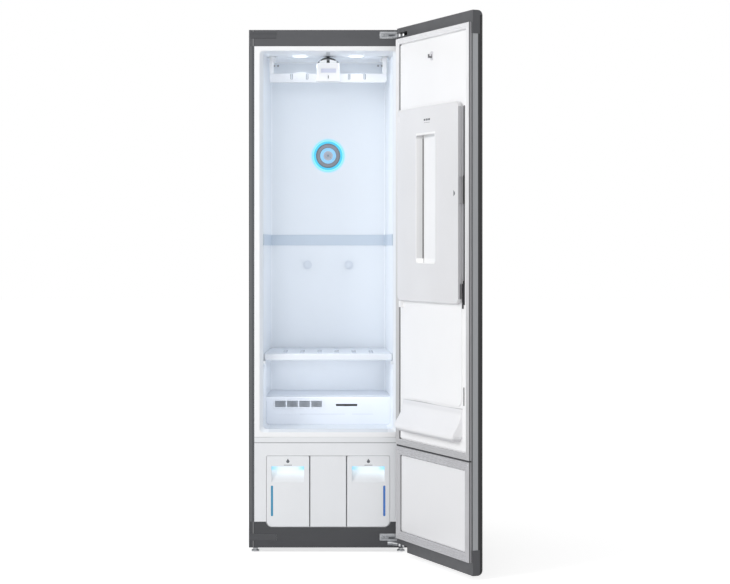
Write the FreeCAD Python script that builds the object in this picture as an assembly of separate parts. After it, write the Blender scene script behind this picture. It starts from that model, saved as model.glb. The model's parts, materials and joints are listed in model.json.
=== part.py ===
import FreeCAD, Part
import math
import os

from FreeCAD import Vector

# A tall steam cabinet for clothes: steel casing, moulded drying cavity, machine room
# below and behind it, and one glass-fronted door hinged at the right.
# Millimetres. X to the right, Y from front to back, Z up from the floor. The origin is
# on the floor, midway between the casing's sides and midway from its front to its back.
# A "depth" is measured backwards from the casing's front plane.

# ---------------------------------------------------------------- driving dimensions
cabinet_width = 595.0
cabinet_height = 1960.0
cabinet_depth = 546.0
ground_gap = 16.5            # underside of the casing above the floor
sheet = 1.0                  # casing steel
plastic_wall = 2.5
seam = 0.3                   # gap left between neighbouring covers
fit_gap = 0.05               # between a piece and what it stands on or hangs from
running = 0.05               # radial clearance of pins and shafts
slide_clearance = 0.1        # radial, of the long guide rods
side_return = 20.0           # steel turned in beside the liner's flange
rear_return = 25.0

fascia_height = 61.0
kick_height = 96.9
cover_depth = 40.0           # depth of the fascia and the kick plate

flange_width = 19.7
flange_thickness = 3.0
lip_depth = 12.0
lip_narrowing = 12.8
wall_taper = 16.5            # each side wall leans in this far towards the back
cavity_depth = 437.0
cavity_corner = 14.0
floor_lip = 12.4
mouth_bottom = 447.6         # height of the cavity mouth's lower edge
mouth_below_fascia = 17.0
liner_skirt = 16.1           # flange below the mouth
band_below_mouth_top = 689.0
band_height = 42.0

machine_cover_depth = 168.0
machine_cover_height = 112.7
grille_segments = 4
grille_pitch = 46.5
grille_width = 40.0
grille_inset = 25.2          # first grille in from the cavity's rear wall line
grille_slots = 9
grille_height = 23.0
grille_border = 8.0
grille_above_floor = 69.0
aroma_gap = 45.5             # filter frame to the cassette's slot
aroma_slot_width = 82.0
aroma_slot_height = 8.0
aroma_slot_above_floor = 72.6
aroma_case_length = 104.0

shelf_above_floor = 256.0    # underside of the shelf above the cavity floor
shelf_height = 25.0
shelf_plate = 5.0
shelf_front_depth = 57.0
shelf_rear_gap = 9.0
shelf_slot_pitch = 66.0
shelf_slot_width = 16.0
shelf_slot_length = 200.0
shelf_side_gap = 1.5
runner_width = 8.0
runner_height = 12.0

ring_below_ceiling = 372.0
ring_outer_r = 60.0
ring_inner_r = 48.0
bezel_inner_r = 32.0
nozzle_disc_r = 18.5
nozzle_tail = 12.0           # behind the cavity's back wall, where the hose joins
hook_spacing = 164.0
hook_above_floor = 613.0
lamp_spacing = 216.0
lamp_depth = 178.0
lamp_r = 30.0

hanger_depth = 200.0
hanger_side_gap = 18.7       # end of the bar to the cavity wall at its lip
hanger_bar_height = 33.0
hanger_bar_depth = 22.0
hanger_bar_drop = 100.0      # underside of the bar below the ceiling
hanger_notch_x = (81.0, 141.0)
hanger_notch_width = 6.0
hanger_stroke = 10.0
hanger_arm = 16.0
drive_cover_half = 44.5
drive_cover_below_ceiling = 27.0
stem_r = 6.5
guide_rod_r = 5.0
guide_rod_spread = 60.0

tank_width = 160.0
tank_floor = 95.0
tank_height = 265.0
tank_depth = 200.0
tank_wall = 2.5
tank_front_wall = 4.0
tank_corner = 22.0
tank_top_corner = 4.0
tank_inset = 46.0            # outer tank edge in from the edge of the liner's flange
tank_gap = 1.2
tank_cover_gap = 4.3
handle_inset = 18.3
handle_width = 122.5
handle_top = 38.5            # below the tank's top
handle_height = 60.0
handle_depth = 30.0
window_width = 8.7
window_height = 115.4
window_inset = 20.4
window_above_floor = 39.0
filler_r = 22.0

foot_r = 15.0
foot_inset = 23.5
foot_depth = 25.0
foot_pad = 6.0
foot_stem_r = 5.0

door_thickness = 50.0
door_back_gap = 12.0         # door frame stands this far in front of the casing
door_open_deg = 113.6
door_glass_thickness = 4.0
door_edge = 10.0             # width of the side profiles
door_round = 18.0
cap_height = 44.0
cap_side_height = 81.0
lower_cap_side_height = 87.5
glass_top_margin = 17.0
glass_bottom_margin = 5.0
gasket_width = 21.5
gasket_stand = 11.4
lower_gasket_width = 30.0
door_split = 408.0           # height of the joint between upper and lower gaskets
door_split_gap = 3.0
liner_gap = 4.0
pivot_inset = 12.1
hinge_eye_gap = 0.5          # between the hinge eye and the glass
hinge_pin_r = 4.0
hinge_eye_r = 8.5
arm_width = 14.0
arm_thickness = 12.0
arm_root_inset = 52.5
hinge_plate_length = 99.0
hinge_plate_height = 25.9
hinge_plate_stand = 0.3      # plates and blank covers sit almost flush in their windows
hinge_root_stand = 3.0       # root of the hinge arm in front of the casing
hinge_root_half = 22.0
hinge_plate_inset = 5.0
hinge_edge_margin = 6.6      # hinge plate below the fascia's top
lower_hinge_above_body = 26.3
lower_arm_above_body = 9.5
hinge_plate_corner = 3.0
hinge_screw_steps = (11.0, 23.0)
hinge_pin_length = 14.0      # above the arm
bush_wall = 3.45

press_bottom = 948.0
press_height = 702.0
press_thickness = 19.0
press_free_inset = 57.5
press_hinge_inset = 57.5
press_corner = 22.0
press_hinge_round = 6.0      # rear edge of the press, centred on its hinge pins
press_wall = 2.5
press_pin_r = 3.0
grip_width = 155.0           # insert in the press with a scooped finger grip
grip_height = 464.0
grip_bottom = 138.0
grip_from_free = 168.0
grip_corner = 14.0
grip_rim = 3.0
grip_steep_wall = 22.0       # width of the scoop's steep wall at the hinge side
grip_slot = 21.0             # slot right through, at the foot of the steep wall
grip_lip_depth = 12.0        # of the gentle slope where it meets the slot
latch_slot_depth = 9.0
latch_wall = 4.5             # of the press on each side of the latch
latch_height = 96.0
latch_bottom = 346.0
backing_bottom = 592.0
backing_inset = 65.5
backing_thickness = 4.0
backing_drop = 20.0          # backing's top edge below the press's
scoop_bottom = 468.0
scoop_reach = 40.0
scoop_inset = 65.5
door_hook_rise = 180.0       # above the press

machine_clear = 3.0          # room left round machine room parts
compressor_r = 62.0
compressor_height = 150.0
duct_wall = 3.0
duct_width = 215.0
duct_height = 220.0
wheel_r = 68.0
wheel_blades = 20
wheel_width = 42.0
shaft_r = 4.0
hose_r = 7.0
pipe_r = 4.0

# ---------------------------------------------------------------- derived places
half_w = cabinet_width / 2
front = -cabinet_depth / 2
back = cabinet_depth / 2
top = cabinet_height
fascia_bottom = top - fascia_height
kick_top = ground_gap + kick_height
inner_half = half_w - sheet - seam
flange_half = half_w - side_return - seam
mouth_half = flange_half - flange_width
cavity_half = mouth_half - lip_narrowing
cavity_rear_half = cavity_half - wall_taper
mouth_top = fascia_bottom - mouth_below_fascia
ceiling = mouth_top - 1.0
cavity_floor = mouth_bottom + floor_lip
liner_bottom = mouth_bottom - liner_skirt
cavity_back = front + cavity_depth
deck = ground_gap + plastic_wall + seam          # underside of the base tray
deck_thickness = 2.0
deck_top = deck + deck_thickness
tank_outer = flange_half - tank_inset
tank_inner = tank_outer - tank_width
tank_top = tank_floor + tank_height
cover_half = tank_inner - tank_cover_gap
bay_outer = tank_outer + tank_gap + plastic_wall
bay_floor = tank_floor - seam
pivot_depth = door_thickness - door_glass_thickness - hinge_eye_gap - hinge_eye_r
pivot_x = half_w - pivot_inset
pivot_y = front - pivot_depth
arm_root_x = half_w - arm_root_inset
scoop_half = half_w - scoop_inset
hanger_half = cavity_half - hanger_side_gap
grille_start = -(cavity_rear_half - grille_inset)
hanger_y = front + hanger_depth
door_front = front - door_thickness
door_back = front - door_back_gap
glass_back = door_front + door_glass_thickness
backing_back = door_front + door_edge
liner_plane = door_back + 5.0
cap_top_bottom = top - cap_height
cap_bottom_top = ground_gap + cap_height
upper_plate_bottom = top - hinge_edge_margin - hinge_plate_height
lower_plate_bottom = ground_gap + lower_hinge_above_body
upper_arm_z = upper_plate_bottom + 2.0
lower_arm_z = ground_gap + lower_arm_above_body
machine_top = cavity_floor + machine_cover_height
shelf_bottom = cavity_floor + shelf_above_floor


# ---------------------------------------------------------------- shape helpers
def box(x0, x1, y0, y1, z0, z1):
    return Part.makeBox(x1 - x0, y1 - y0, z1 - z0, Vector(x0, y0, z0))


def rod(radius, start, end):
    start = Vector(*start)
    run = Vector(*end).sub(start)
    return Part.makeCylinder(radius, run.Length, start, run)


def prism(points, direction):
    """A straight prism from a closed outline of points."""
    outline = Part.makePolygon([Vector(*p) for p in points] + [Vector(*points[0])])
    return Part.Face(outline).extrude(Vector(*direction))


def edges_along(shape, axis, keep=None):
    """Straight edges of the shape that run along an axis."""
    found = []
    for edge in shape.Edges:
        if not isinstance(edge.Curve, Part.Line) or len(edge.Vertexes) < 2:
            continue
        run = edge.Vertexes[1].Point.sub(edge.Vertexes[0].Point).normalize()
        if abs(abs(run.dot(Vector(*axis))) - 1) < 1e-6:
            if keep is None or keep(edge.CenterOfMass):
                found.append(edge)
    return found


along_x = (1, 0, 0)
along_y = (0, 1, 0)
along_z = (0, 0, 1)


def rounded(shape, radius, axis, keep=None):
    return shape.makeFillet(radius, edges_along(shape, axis, keep))


def mirrored(shape):
    return shape.mirror(Vector(0, 0, 0), Vector(1, 0, 0))


def opened(shape):
    """The door stands open: turn a piece modelled shut about the hinge axis."""
    turned = shape.copy()
    turned.rotate(Vector(pivot_x, pivot_y, 0), Vector(0, 0, 1), door_open_deg)
    return turned


def tube_run(radius, points):
    """A brazed tube or hose: straight runs with a ball at each bend."""
    shape = rod(radius, points[0], points[1])
    for start, end in zip(points[1:], points[2:]):
        shape = shape.fuse(Part.makeSphere(radius, Vector(*start)))
        shape = shape.fuse(rod(radius, start, end))
    return shape


def write(name, *shapes):
    solids = [solid for shape in shapes for solid in shape.Solids]
    for solid in solids:
        if not solid.isValid():
            print("not valid:", name)
    shape = solids[0] if len(solids) == 1 else Part.makeCompound(solids)
    shape.exportStep("parts/" + name + ".step")
    print(name, len(solids), round(sum(s.Volume for s in solids)))


os.makedirs("parts", exist_ok=True)


# ---------------------------------------------------------------- steel casing
def side_panel():
    """The right side: a sheet with a narrow front return and a rear return."""
    panel = box(half_w - sheet, half_w, front, back, ground_gap, top)
    panel = panel.fuse(box(half_w - side_return, half_w, front, front + sheet, ground_gap, top))
    panel = panel.fuse(box(half_w - rear_return, half_w, back - sheet, back, ground_gap, top))
    for low, high in ((fascia_bottom - seam, top), (ground_gap, kick_top + seam)):
        panel = panel.cut(box(0, half_w + 1, front - 1, front + cover_depth + seam, low, high))
    return panel


def top_panel():
    start = front + cover_depth + seam
    end = back - sheet * 2 - seam * 2
    panel = box(-inner_half, inner_half, start, end, top - sheet, top)
    flange = 15.0
    for y in (start, end - sheet):
        panel = panel.fuse(box(-inner_half, inner_half, y, y + sheet, top - flange, top))
    return panel.removeSplitter()


def back_panel():
    """Rear sheet with two columns of louvres into the machine room."""
    y = back - sheet * 2 - seam
    panel = box(-inner_half, inner_half, y, y + sheet, deck_top, top)
    slot_length, slot_height, slot_pitch = 90.0, 6.0, 18.0
    slot_rows = 12
    first_slot = 130.0
    column_inset = 110.0
    slots = []
    for column in (-1, 1):
        for row in range(slot_rows):
            z = deck_top + first_slot + row * slot_pitch
            x = column * (inner_half - column_inset)
            slots.append(box(x - slot_length / 2, x + slot_length / 2, y - 1, y + 2, z, z + slot_height))
    panel = panel.cut(Part.makeCompound(slots))
    inlet_x, inlet_z = power_inlet_place()
    return panel.cut(rod(inlet_hole_r, (inlet_x, y - 1, inlet_z), (inlet_x, y + 2, inlet_z)))


inlet_hole_r = 11.0
inlet_inset = 70.0           # from the rear sheet's side, and above the tray


def power_inlet_place():
    return inner_half - inlet_inset, deck_top + inlet_inset


def power_inlet():
    """Rubber gland through the rear sheet where the supply lead would enter."""
    x, z = power_inlet_place()
    y = back - sheet * 2 - seam
    lip = 4.0
    lead_r = 4.0
    lip_r = inlet_hole_r + lip
    gland = rod(lip_r, (x, y - lip, z), (x, y, z))
    gland = gland.fuse(rod(inlet_hole_r, (x, y - lip, z), (x, y + sheet, z)))
    gland = gland.fuse(rod(lip_r, (x, y + sheet, z), (x, back, z)))
    return gland.cut(rod(lead_r, (x, y - lip - 1, z), (x, back + 1, z)))


rear_foot_shift = 10.0       # rear pads stand this much further in than the front feet


def foot_places(rear):
    y = back - foot_depth - rear_foot_shift if rear else front + foot_depth
    return [(side * (half_w - foot_inset), y) for side in (-1, 1)]


boss_height = 24.0           # of the front feet's bosses above the tray


def base_frame():
    """Steel tray that carries the machine room, with bosses for the front feet."""
    rim, rim_wall = 30.0, 2.0
    behind = front + cover_depth + seam
    tray = box(-inner_half, inner_half, behind, back - 3 * sheet, deck, deck_top)
    tongue = half_w - plastic_wall - seam
    tray = tray.fuse(box(-tongue, tongue, front + plastic_wall + seam, behind, deck, deck_top))
    for side in (-1, 1):
        edge = side * inner_half
        x0, x1 = sorted((edge, edge - side * rim_wall))
        tray = tray.fuse(box(x0, x1, behind, back - 3 * sheet, deck, deck + rim))
    boss_wall, rear_boss_wall = 5.0, 3.0
    boss_r, boss_top = foot_stem_r + boss_wall, deck_top + boss_height
    for x, y in foot_places(False):
        tray = tray.fuse(rod(boss_r, (x, y, deck), (x, y, boss_top)))
        tray = tray.cut(rod(foot_stem_r + running, (x, y, 0), (x, y, boss_top + 1)))
    for x, y in foot_places(True):
        tray = tray.fuse(rod(foot_r, (x, y, 0), (x, y, foot_pad)))
        tray = tray.fuse(rod(foot_stem_r + rear_boss_wall, (x, y, 0), (x, y, deck_top)))
    return tray.removeSplitter()


def levelling_foot(x, y):
    pad_chamfer = 1.5
    nut_r, nut_height = 9.0, 6.0
    pad = rod(foot_r, (x, y, 0), (x, y, foot_pad))
    pad = pad.makeChamfer(pad_chamfer, [e for e in pad.Edges if abs(e.CenterOfMass.z - foot_pad) < 0.1
                                        and not isinstance(e.Curve, Part.Line)])
    hexagon = [(x + nut_r * math.cos(k * math.pi / 3), y + nut_r * math.sin(k * math.pi / 3), foot_pad)
               for k in range(6)]
    foot = pad.fuse(prism(hexagon, (0, 0, nut_height)))
    return foot.fuse(rod(foot_stem_r, (x, y, 0), (x, y, deck_top + boss_height - 2.0)))


def hollow_cover(z0, z1, hollow_top):
    """A plastic front cover, open at its back."""
    edge_round = 3.0
    cover = box(-half_w, half_w, front, front + cover_depth, z0, z1)
    cover = rounded(cover, edge_round, along_z, lambda p: p.y < front + 1)
    inside = box(-half_w + plastic_wall, half_w - plastic_wall, front + plastic_wall,
                 front + cover_depth + 1, z0 + plastic_wall, hollow_top)
    return cover.cut(inside)


def hinge_windows(z0):
    """Cuts through a cover's front wall for a hinge plate at the right, a blank cover at the left."""
    window = box(half_w - hinge_plate_inset - hinge_plate_length - seam, half_w - hinge_plate_inset + seam,
                 front - 1, front + plastic_wall + 1, z0 - seam, z0 + hinge_plate_height + seam)
    window = rounded(window, hinge_plate_corner + seam, along_y)
    return window.fuse(mirrored(window))


def top_fascia():
    return hollow_cover(fascia_bottom, top, top - plastic_wall).cut(hinge_windows(upper_plate_bottom))


def kick_plate():
    """Dark plinth, cut down in its middle to clear the tanks."""
    notch_bottom = bay_floor - plastic_wall - seam
    notch_half = bay_outer + seam
    plate = hollow_cover(ground_gap, kick_top, notch_bottom - plastic_wall)
    notch = box(-notch_half, notch_half, front - 1, front + cover_depth + 1, notch_bottom, kick_top + 30)
    notch = rounded(notch, tank_corner + plastic_wall + seam, along_y, lambda p: p.z < notch_bottom + 1)
    plate = plate.cut(notch).cut(hinge_windows(lower_plate_bottom))
    foot_room = 5.6
    for x, y in foot_places(False):
        plate = plate.cut(rod(foot_stem_r + foot_room, (x, y, 0), (x, y, ground_gap + plastic_wall + 1)))
    return plate


# ---------------------------------------------------------------- cavity
def mouth_section(y, half, z0, z1, corner):
    """Outline of the cavity at one depth, as a closed wire of lines and arcs."""
    plate = box(-half, half, y, y + 1, z0, z1)
    plate = rounded(plate, corner, along_y)
    face = [f for f in plate.Faces if abs(f.CenterOfMass.y - y) < 1e-6][0]
    return face.OuterWire


def cavity(grow):
    """The drying space as a solid, grown outwards by a wall or shrunk by a gap."""
    mouth = mouth_section(front, mouth_half + grow, mouth_bottom - grow, mouth_top + grow, cavity_corner)
    lip = mouth_section(front + lip_depth, cavity_half + grow, cavity_floor - grow, ceiling + grow,
                        cavity_corner)
    rear = mouth_section(cavity_back + grow, cavity_rear_half + grow, cavity_floor - grow,
                         ceiling + grow, cavity_corner)
    space = Part.makeLoft([mouth, lip], True, True)
    return space.fuse(Part.makeLoft([lip, rear], True, True)).removeSplitter()


def cavity_liner():
    """Moulded liner: front flange, lip and tapering walls, open at the front."""
    flange = box(-flange_half, flange_half, front, front + flange_thickness, liner_bottom,
                 fascia_bottom - seam)
    liner = flange.fuse(cavity(plastic_wall)).cut(cavity(0))
    hole_depth = plastic_wall + 2
    ledge = 4.0
    for side in (-1, 1):
        x = side * lamp_spacing / 2
        liner = liner.cut(rod(lamp_r - ledge, (x, front + lamp_depth, ceiling - 1),
                              (x, front + lamp_depth, ceiling + hole_depth)))
    reach = hanger_stroke + 2.0
    slot_y = hanger_arm / 2 + 1.0
    for x, half in ((-hanger_half + hanger_arm / 2, hanger_arm / 2), (0, stem_r),
                    (hanger_half - hanger_arm / 2, hanger_arm / 2)):
        liner = liner.cut(box(x - half - reach, x + half + reach, hanger_y - slot_y, hanger_y + slot_y,
                              ceiling - cavity_corner, ceiling + hole_depth))
    z = ceiling - ring_below_ceiling
    return liner.cut(rod(nozzle_disc_r - ledge, (0, cavity_back - 1, z), (0, cavity_back + hole_depth, z)))


def wall_strip(z0, z1, depth0, depth1, inner, outer):
    """A strip that follows the tapering walls at a given height."""
    strip = cavity(-outer).cut(cavity(-inner))
    return strip.common(box(-half_w, half_w, front + depth0, front + depth1, z0, z1))


def liner_band():
    z1 = mouth_top - band_below_mouth_top
    return wall_strip(z1 - band_height, z1, lip_depth + 6.0, cavity_depth + 1, 2.7, 0.2)


def shelf_runners():
    strip = wall_strip(shelf_bottom - runner_height, shelf_bottom - seam, lip_depth + 2.0,
                       cavity_depth - 20.0, runner_width, 0.2)
    return strip.Solids


def machine_cover():
    """Raised housing across the back of the cavity floor."""
    y = front + machine_cover_depth
    nose_round = 10.0
    duct_inset = 30.0
    region = box(-half_w, half_w, y, back, cavity_floor - 1, machine_top)
    shell = cavity(-seam).common(region)
    shell = rounded(shell, nose_round, along_x, lambda p: p.z > machine_top - 1 and p.y < y + 1)
    inside = box(-half_w, half_w, y + plastic_wall, back, cavity_floor - 2, machine_top - plastic_wall)
    shell = shell.cut(cavity(-seam - plastic_wall).common(inside))
    shell = shell.cut(box(-cavity_rear_half + duct_inset, cavity_rear_half - duct_inset,
                          y + plastic_wall + 8, cavity_back - 20, cavity_floor - 2, cavity_floor + 5))
    z = cavity_floor + aroma_slot_above_floor
    x0, x1 = aroma_slot()
    shell = shell.cut(box(x0, x1, y - 1, y + 4, z, z + aroma_slot_height))
    fx0, fx1, fz0, fz1 = filter_frame()
    shell = shell.cut(box(fx0, fx1, y - 1, y + 4, fz0, fz1))
    groove_z = cavity_floor + 39.0
    groove_depth, groove_width = 0.8, 2.0
    for start, end in ((-13.0, 110.0), (145.0, 233.0), (295.0, 357.0)):
        shell = shell.cut(box(grille_start + start, grille_start + end, y - 1, y + groove_depth, groove_z,
                              groove_z + groove_width))
    ledge = box(x0 - 4, x1 + 4, y + plastic_wall, y + aroma_case_length + 6, z - 2.5, z - seam)
    return shell.fuse(ledge).fuse(box(x0 + 20, x1 - 20, y + plastic_wall, y + aroma_case_length,
                                      cavity_floor, z - seam)).removeSplitter()


def filter_frame():
    """Opening in the machine cover for the lint filter: x and z limits."""
    end = grille_start + (grille_segments - 1) * grille_pitch + grille_width
    z = cavity_floor + grille_above_floor
    return (grille_start - grille_border, end + grille_border, z - grille_border,
            z + grille_height + grille_border)


def aroma_slot():
    """Ends of the cassette's slot, to the right of the filter."""
    start = filter_frame()[1] + aroma_gap
    return start, start + aroma_slot_width


def lint_filter():
    """Pull-out filter: a front with four groups of fine vertical slots and a frame behind."""
    y = front + machine_cover_depth
    x0, x1, z0, z1 = filter_frame()
    filter_depth = 46.0
    face = box(x0 + seam, x1 - seam, y, y + plastic_wall, z0 + seam, z1 - seam)
    slots = []
    bar_pitch = grille_width / grille_slots
    slot_share = 0.55
    for segment in range(grille_segments):
        for slot in range(grille_slots):
            x = grille_start + segment * grille_pitch + slot * bar_pitch
            z = z0 + grille_border
            slots.append(box(x, x + bar_pitch * slot_share, y - 1, y + 4, z, z + grille_height))
    face = face.cut(Part.makeCompound(slots))
    frame = box(x0 + seam, x1 - seam, y, y + filter_depth, z0 + seam, z1 - seam)
    wall = 3.0
    frame = frame.cut(box(x0 + wall, x1 - wall, y - 1, y + filter_depth + 1, z0 + wall, z1 - wall))
    return face.fuse(frame).removeSplitter()


def aroma_case():
    """Flat cassette for a scented sheet, in the slot at the right."""
    y = front + machine_cover_depth
    x0, x1 = aroma_slot()
    z = cavity_floor + aroma_slot_above_floor
    tray = box(x0 + seam, x1 - seam, y + 1.5, y + aroma_case_length, z, z + aroma_slot_height - 1.5)
    tray = tray.cut(box(x0 + 2, x1 - 2, y + 5, y + aroma_case_length - 2, z + 1.5, z + aroma_slot_height))
    grip = (x0 + x1) / 2
    return tray.fuse(box(grip - 12, grip + 12, y - 1.0, y + 6, z, z + 2.0)).removeSplitter()


def lamp_lenses():
    lenses = []
    for side in (-1, 1):
        x, y = side * lamp_spacing / 2, front + lamp_depth
        lens = rod(lamp_r, (x, y, ceiling - 3.0), (x, y, ceiling - 0.05))
        lens = lens.makeFillet(2.0, [e for e in lens.Edges if e.CenterOfMass.z < ceiling - 2.9
                                     and not isinstance(e.Curve, Part.Line)])
        lenses.append(lens.fuse(rod(lamp_r - 4.3, (x, y, ceiling - 1), (x, y, ceiling + plastic_wall + 4))))
    return lenses


def ring(outer_r, inner_r, y0, y1, z):
    return rod(outer_r, (0, y0, z), (0, y1, z)).cut(rod(inner_r, (0, y0 - 1, z), (0, y1 + 1, z)))


def nozzle_parts():
    """Ring light, bezel and perforated disc on the back wall."""
    z = ceiling - ring_below_ceiling
    wall = cavity_back - 0.05
    light = ring(ring_outer_r, ring_inner_r + seam, wall - 4.0, wall, z)
    bezel = ring(ring_inner_r, bezel_inner_r, wall - 7.0, wall, z)
    bezel = bezel.makeChamfer(2.0, [e for e in bezel.Edges if e.CenterOfMass.y < wall - 6.9
                                    and abs(e.Length - 2 * math.pi * ring_inner_r) < 1])
    insert = rod(bezel_inner_r - seam, (0, wall - 2.5, z), (0, wall, z))
    insert = insert.fuse(rod(nozzle_disc_r, (0, wall - 6.0, z), (0, wall, z)))
    insert = insert.fuse(rod(nozzle_disc_r - 4.3, (0, wall - 1, z), (0, cavity_back + nozzle_tail, z)))
    hole_r = 1.6
    holes = [rod(hole_r, (0, wall - 8, z), (0, wall + 20, z))]
    for count, radius in ((6, 6.0), (10, 11.5)):
        for k in range(count):
            angle = 2 * math.pi * k / count
            x, dz = radius * math.cos(angle), radius * math.sin(angle)
            holes.append(rod(hole_r, (x, wall - 8, z + dz), (x, wall + 20, z + dz)))
    return light, bezel, insert.cut(Part.makeCompound(holes))


def wall_hooks():
    """Two round pegs with a broad disc behind, on the back wall."""
    z = cavity_floor + hook_above_floor
    wall = cavity_back - 0.05
    base_r, peg_r, knob_r = 17.0, 6.0, 10.0
    base, peg_length, knob = 4.0, 26.0, 4.0
    hooks = []
    for side in (-1, 1):
        x = side * hook_spacing / 2
        hook = rod(base_r, (x, wall - base, z), (x, wall, z))
        hook = hook.fuse(rod(peg_r, (x, wall - peg_length, z), (x, wall, z)))
        hooks.append(hook.fuse(rod(knob_r, (x, wall - peg_length - knob, z), (x, wall - peg_length, z))))
    return hooks


def shelf():
    """Loose rack: a slotted plate with a deeper rim, narrower towards the back."""
    y0, y1 = front + shelf_front_depth, cavity_back - shelf_rear_gap
    region = box(-half_w, half_w, y0, y1, shelf_bottom, shelf_bottom + shelf_height)
    body = cavity(-shelf_side_gap).common(region)
    nose_round, slot_round = 4.0, 6.0
    first_slot = 25.0
    body = rounded(body, nose_round, along_x, lambda p: p.y < y0 + 1)
    rim = 7.0
    inside = box(-half_w, half_w, y0 + rim, y1 - rim, shelf_bottom - 1,
                 shelf_bottom + shelf_height - shelf_plate)
    body = body.cut(cavity(-shelf_side_gap - rim).common(inside))
    slots = []
    for k in range(6):
        x = (k - 2.5) * shelf_slot_pitch
        slot = box(x - shelf_slot_width / 2, x + shelf_slot_width / 2, y0 + first_slot,
                   y0 + first_slot + shelf_slot_length, shelf_bottom, shelf_bottom + shelf_height + 1)
        slots.append(rounded(slot, slot_round, along_z))
    return body.cut(Part.makeCompound(slots))


# ---------------------------------------------------------------- moving hanger
bar_z = ceiling - hanger_bar_drop
carriage_z = ceiling + plastic_wall + 7.0
carriage_plate = 5.0
motor_height = 30.0
drive_cover_top = ceiling - drive_cover_below_ceiling
rod_z = carriage_z + carriage_plate + 9.0


def hanger_carriage():
    """Plate above the ceiling that slides on two rods and carries the bar's arms and motor."""
    plate_half = 42.0
    arm_half = 4.0
    block_x, block_half, bearing_half = 150.0, 12.0, 9.0
    plate = box(-hanger_half, hanger_half, hanger_y - plate_half, hanger_y + plate_half, carriage_z,
                carriage_z + carriage_plate)
    for side in (-1, 1):
        x0 = side * (hanger_half - hanger_arm / 2) - hanger_arm / 2
        arm = box(x0, x0 + hanger_arm, hanger_y - arm_half, hanger_y + arm_half,
                  bar_z + hanger_bar_height, carriage_z)
        inner, outer = sorted((side * hanger_half, side * (hanger_half - hanger_arm - 8)))
        flange = box(inner, outer, hanger_y - arm_half, hanger_y + arm_half, ceiling - 19, ceiling - 7)
        plate = plate.fuse([arm, flange])
        for shift in (7.0, 20.0):
            x = side * (hanger_half - shift)
            plate = plate.cut(rod(2.6, (x, hanger_y - 5, ceiling - 13), (x, hanger_y - 1, ceiling - 13)))
        for y in (-1, 1):
            centre = hanger_y + y * guide_rod_spread / 2
            block = box(side * block_x - block_half, side * block_x + block_half, centre - bearing_half,
                        centre + bearing_half, carriage_z + carriage_plate, rod_z + bearing_half)
            plate = plate.fuse(block)
    for y in (-1, 1):
        centre = hanger_y + y * guide_rod_spread / 2
        plate = plate.cut(rod(guide_rod_r + slide_clearance, (-200, centre, rod_z), (200, centre, rod_z)))
    motor_z = carriage_z + carriage_plate
    motor_r = guide_rod_spread / 2 - guide_rod_r - 1.5
    motor_top = motor_z + motor_height
    plate = plate.fuse(rod(motor_r, (0, hanger_y, motor_z), (0, hanger_y, motor_top)))
    plate = plate.cut(rod(shaft_r + running, (0, hanger_y, motor_z + 8.0), (0, hanger_y, motor_top + 1)))
    return plate.removeSplitter()


def drive_rotor():
    """Eccentric weight on the motor shaft: turning it shakes the hanger from side to side."""
    weight_r, weight_thickness = 24.0, 8.0
    z = carriage_z + carriage_plate + motor_height + 0.5
    weight = rod(weight_r, (0, hanger_y, z), (0, hanger_y, z + weight_thickness))
    weight = weight.cut(box(-30, 30, hanger_y + 5.0, hanger_y + 30, z - 1, z + weight_thickness + 1))
    return weight.fuse(rod(shaft_r, (0, hanger_y, z - 20.0), (0, hanger_y, z + 10.0)))


def drive_rails():
    """Two guide rods in end brackets that stand on the liner's ceiling."""
    post_thickness, post_half, post_gap = 6.0, 45.0, 20.0
    foot_length, foot_width, foot_thickness = 40.0, 20.0, 3.0
    end = hanger_half + hanger_stroke + 8.0
    half = min(end, cavity_half - 2.0)
    parts = []
    stand = ceiling + plastic_wall + fit_gap
    for side in (-1, 1):
        x0, x1 = sorted((side * half, side * (half - post_thickness)))
        post = box(x0, x1, hanger_y - post_half, hanger_y + post_half, stand, rod_z + 10)
        parts.append(post.cut(box(x0 - 1, x1 + 1, hanger_y - post_gap, hanger_y + post_gap,
                                  stand + post_thickness, rod_z + 11)))
        foot0, foot1 = sorted((side * half, side * (half - foot_length)))
        for y in (-post_half, post_half - foot_width):
            parts.append(box(foot0, foot1, hanger_y + y, hanger_y + y + foot_width, stand,
                             stand + foot_thickness))
    frame = parts[0].fuse(parts[1:])
    for y in (-1, 1):
        centre = hanger_y + y * guide_rod_spread / 2
        frame = frame.fuse(rod(guide_rod_r, (-half + 1, centre, rod_z), (half - 1, centre, rod_z)))
    return frame


def hanger_bar():
    """Bar with open notches for clothes hangers and a raised grip left of centre."""
    y0, y1 = hanger_y - hanger_bar_depth / 2, hanger_y + hanger_bar_depth / 2
    bar = box(-hanger_half, hanger_half, y0, y1, bar_z, bar_z + hanger_bar_height)
    bar = rounded(bar, 8.0, along_y)
    bar_top = bar_z + hanger_bar_height
    step = [(x, y0, bar_top + rise) for x, rise in ((-141, 0), (-128, 4), (-88, 6), (-79, 0))]
    bar = bar.fuse(prism(step, (0, hanger_bar_depth, 0)))
    half_notch = hanger_notch_width / 2
    notch_bottom = bar_z + 12.0
    for place in hanger_notch_x:
        for x in (-place, place):
            notch = box(x - half_notch, x + half_notch, y0 - 1, y1 + 1, notch_bottom, bar_top + 8)
            bar = bar.cut(rounded(notch, 2.5, along_y, lambda p: p.z < notch_bottom + 1))
    seat = box(-drive_cover_half - seam, drive_cover_half + seam, y0 - 1, y1 + 1,
               bar_z + 3, bar_z + hanger_bar_height + 10)
    return bar.cut(seat)


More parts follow.
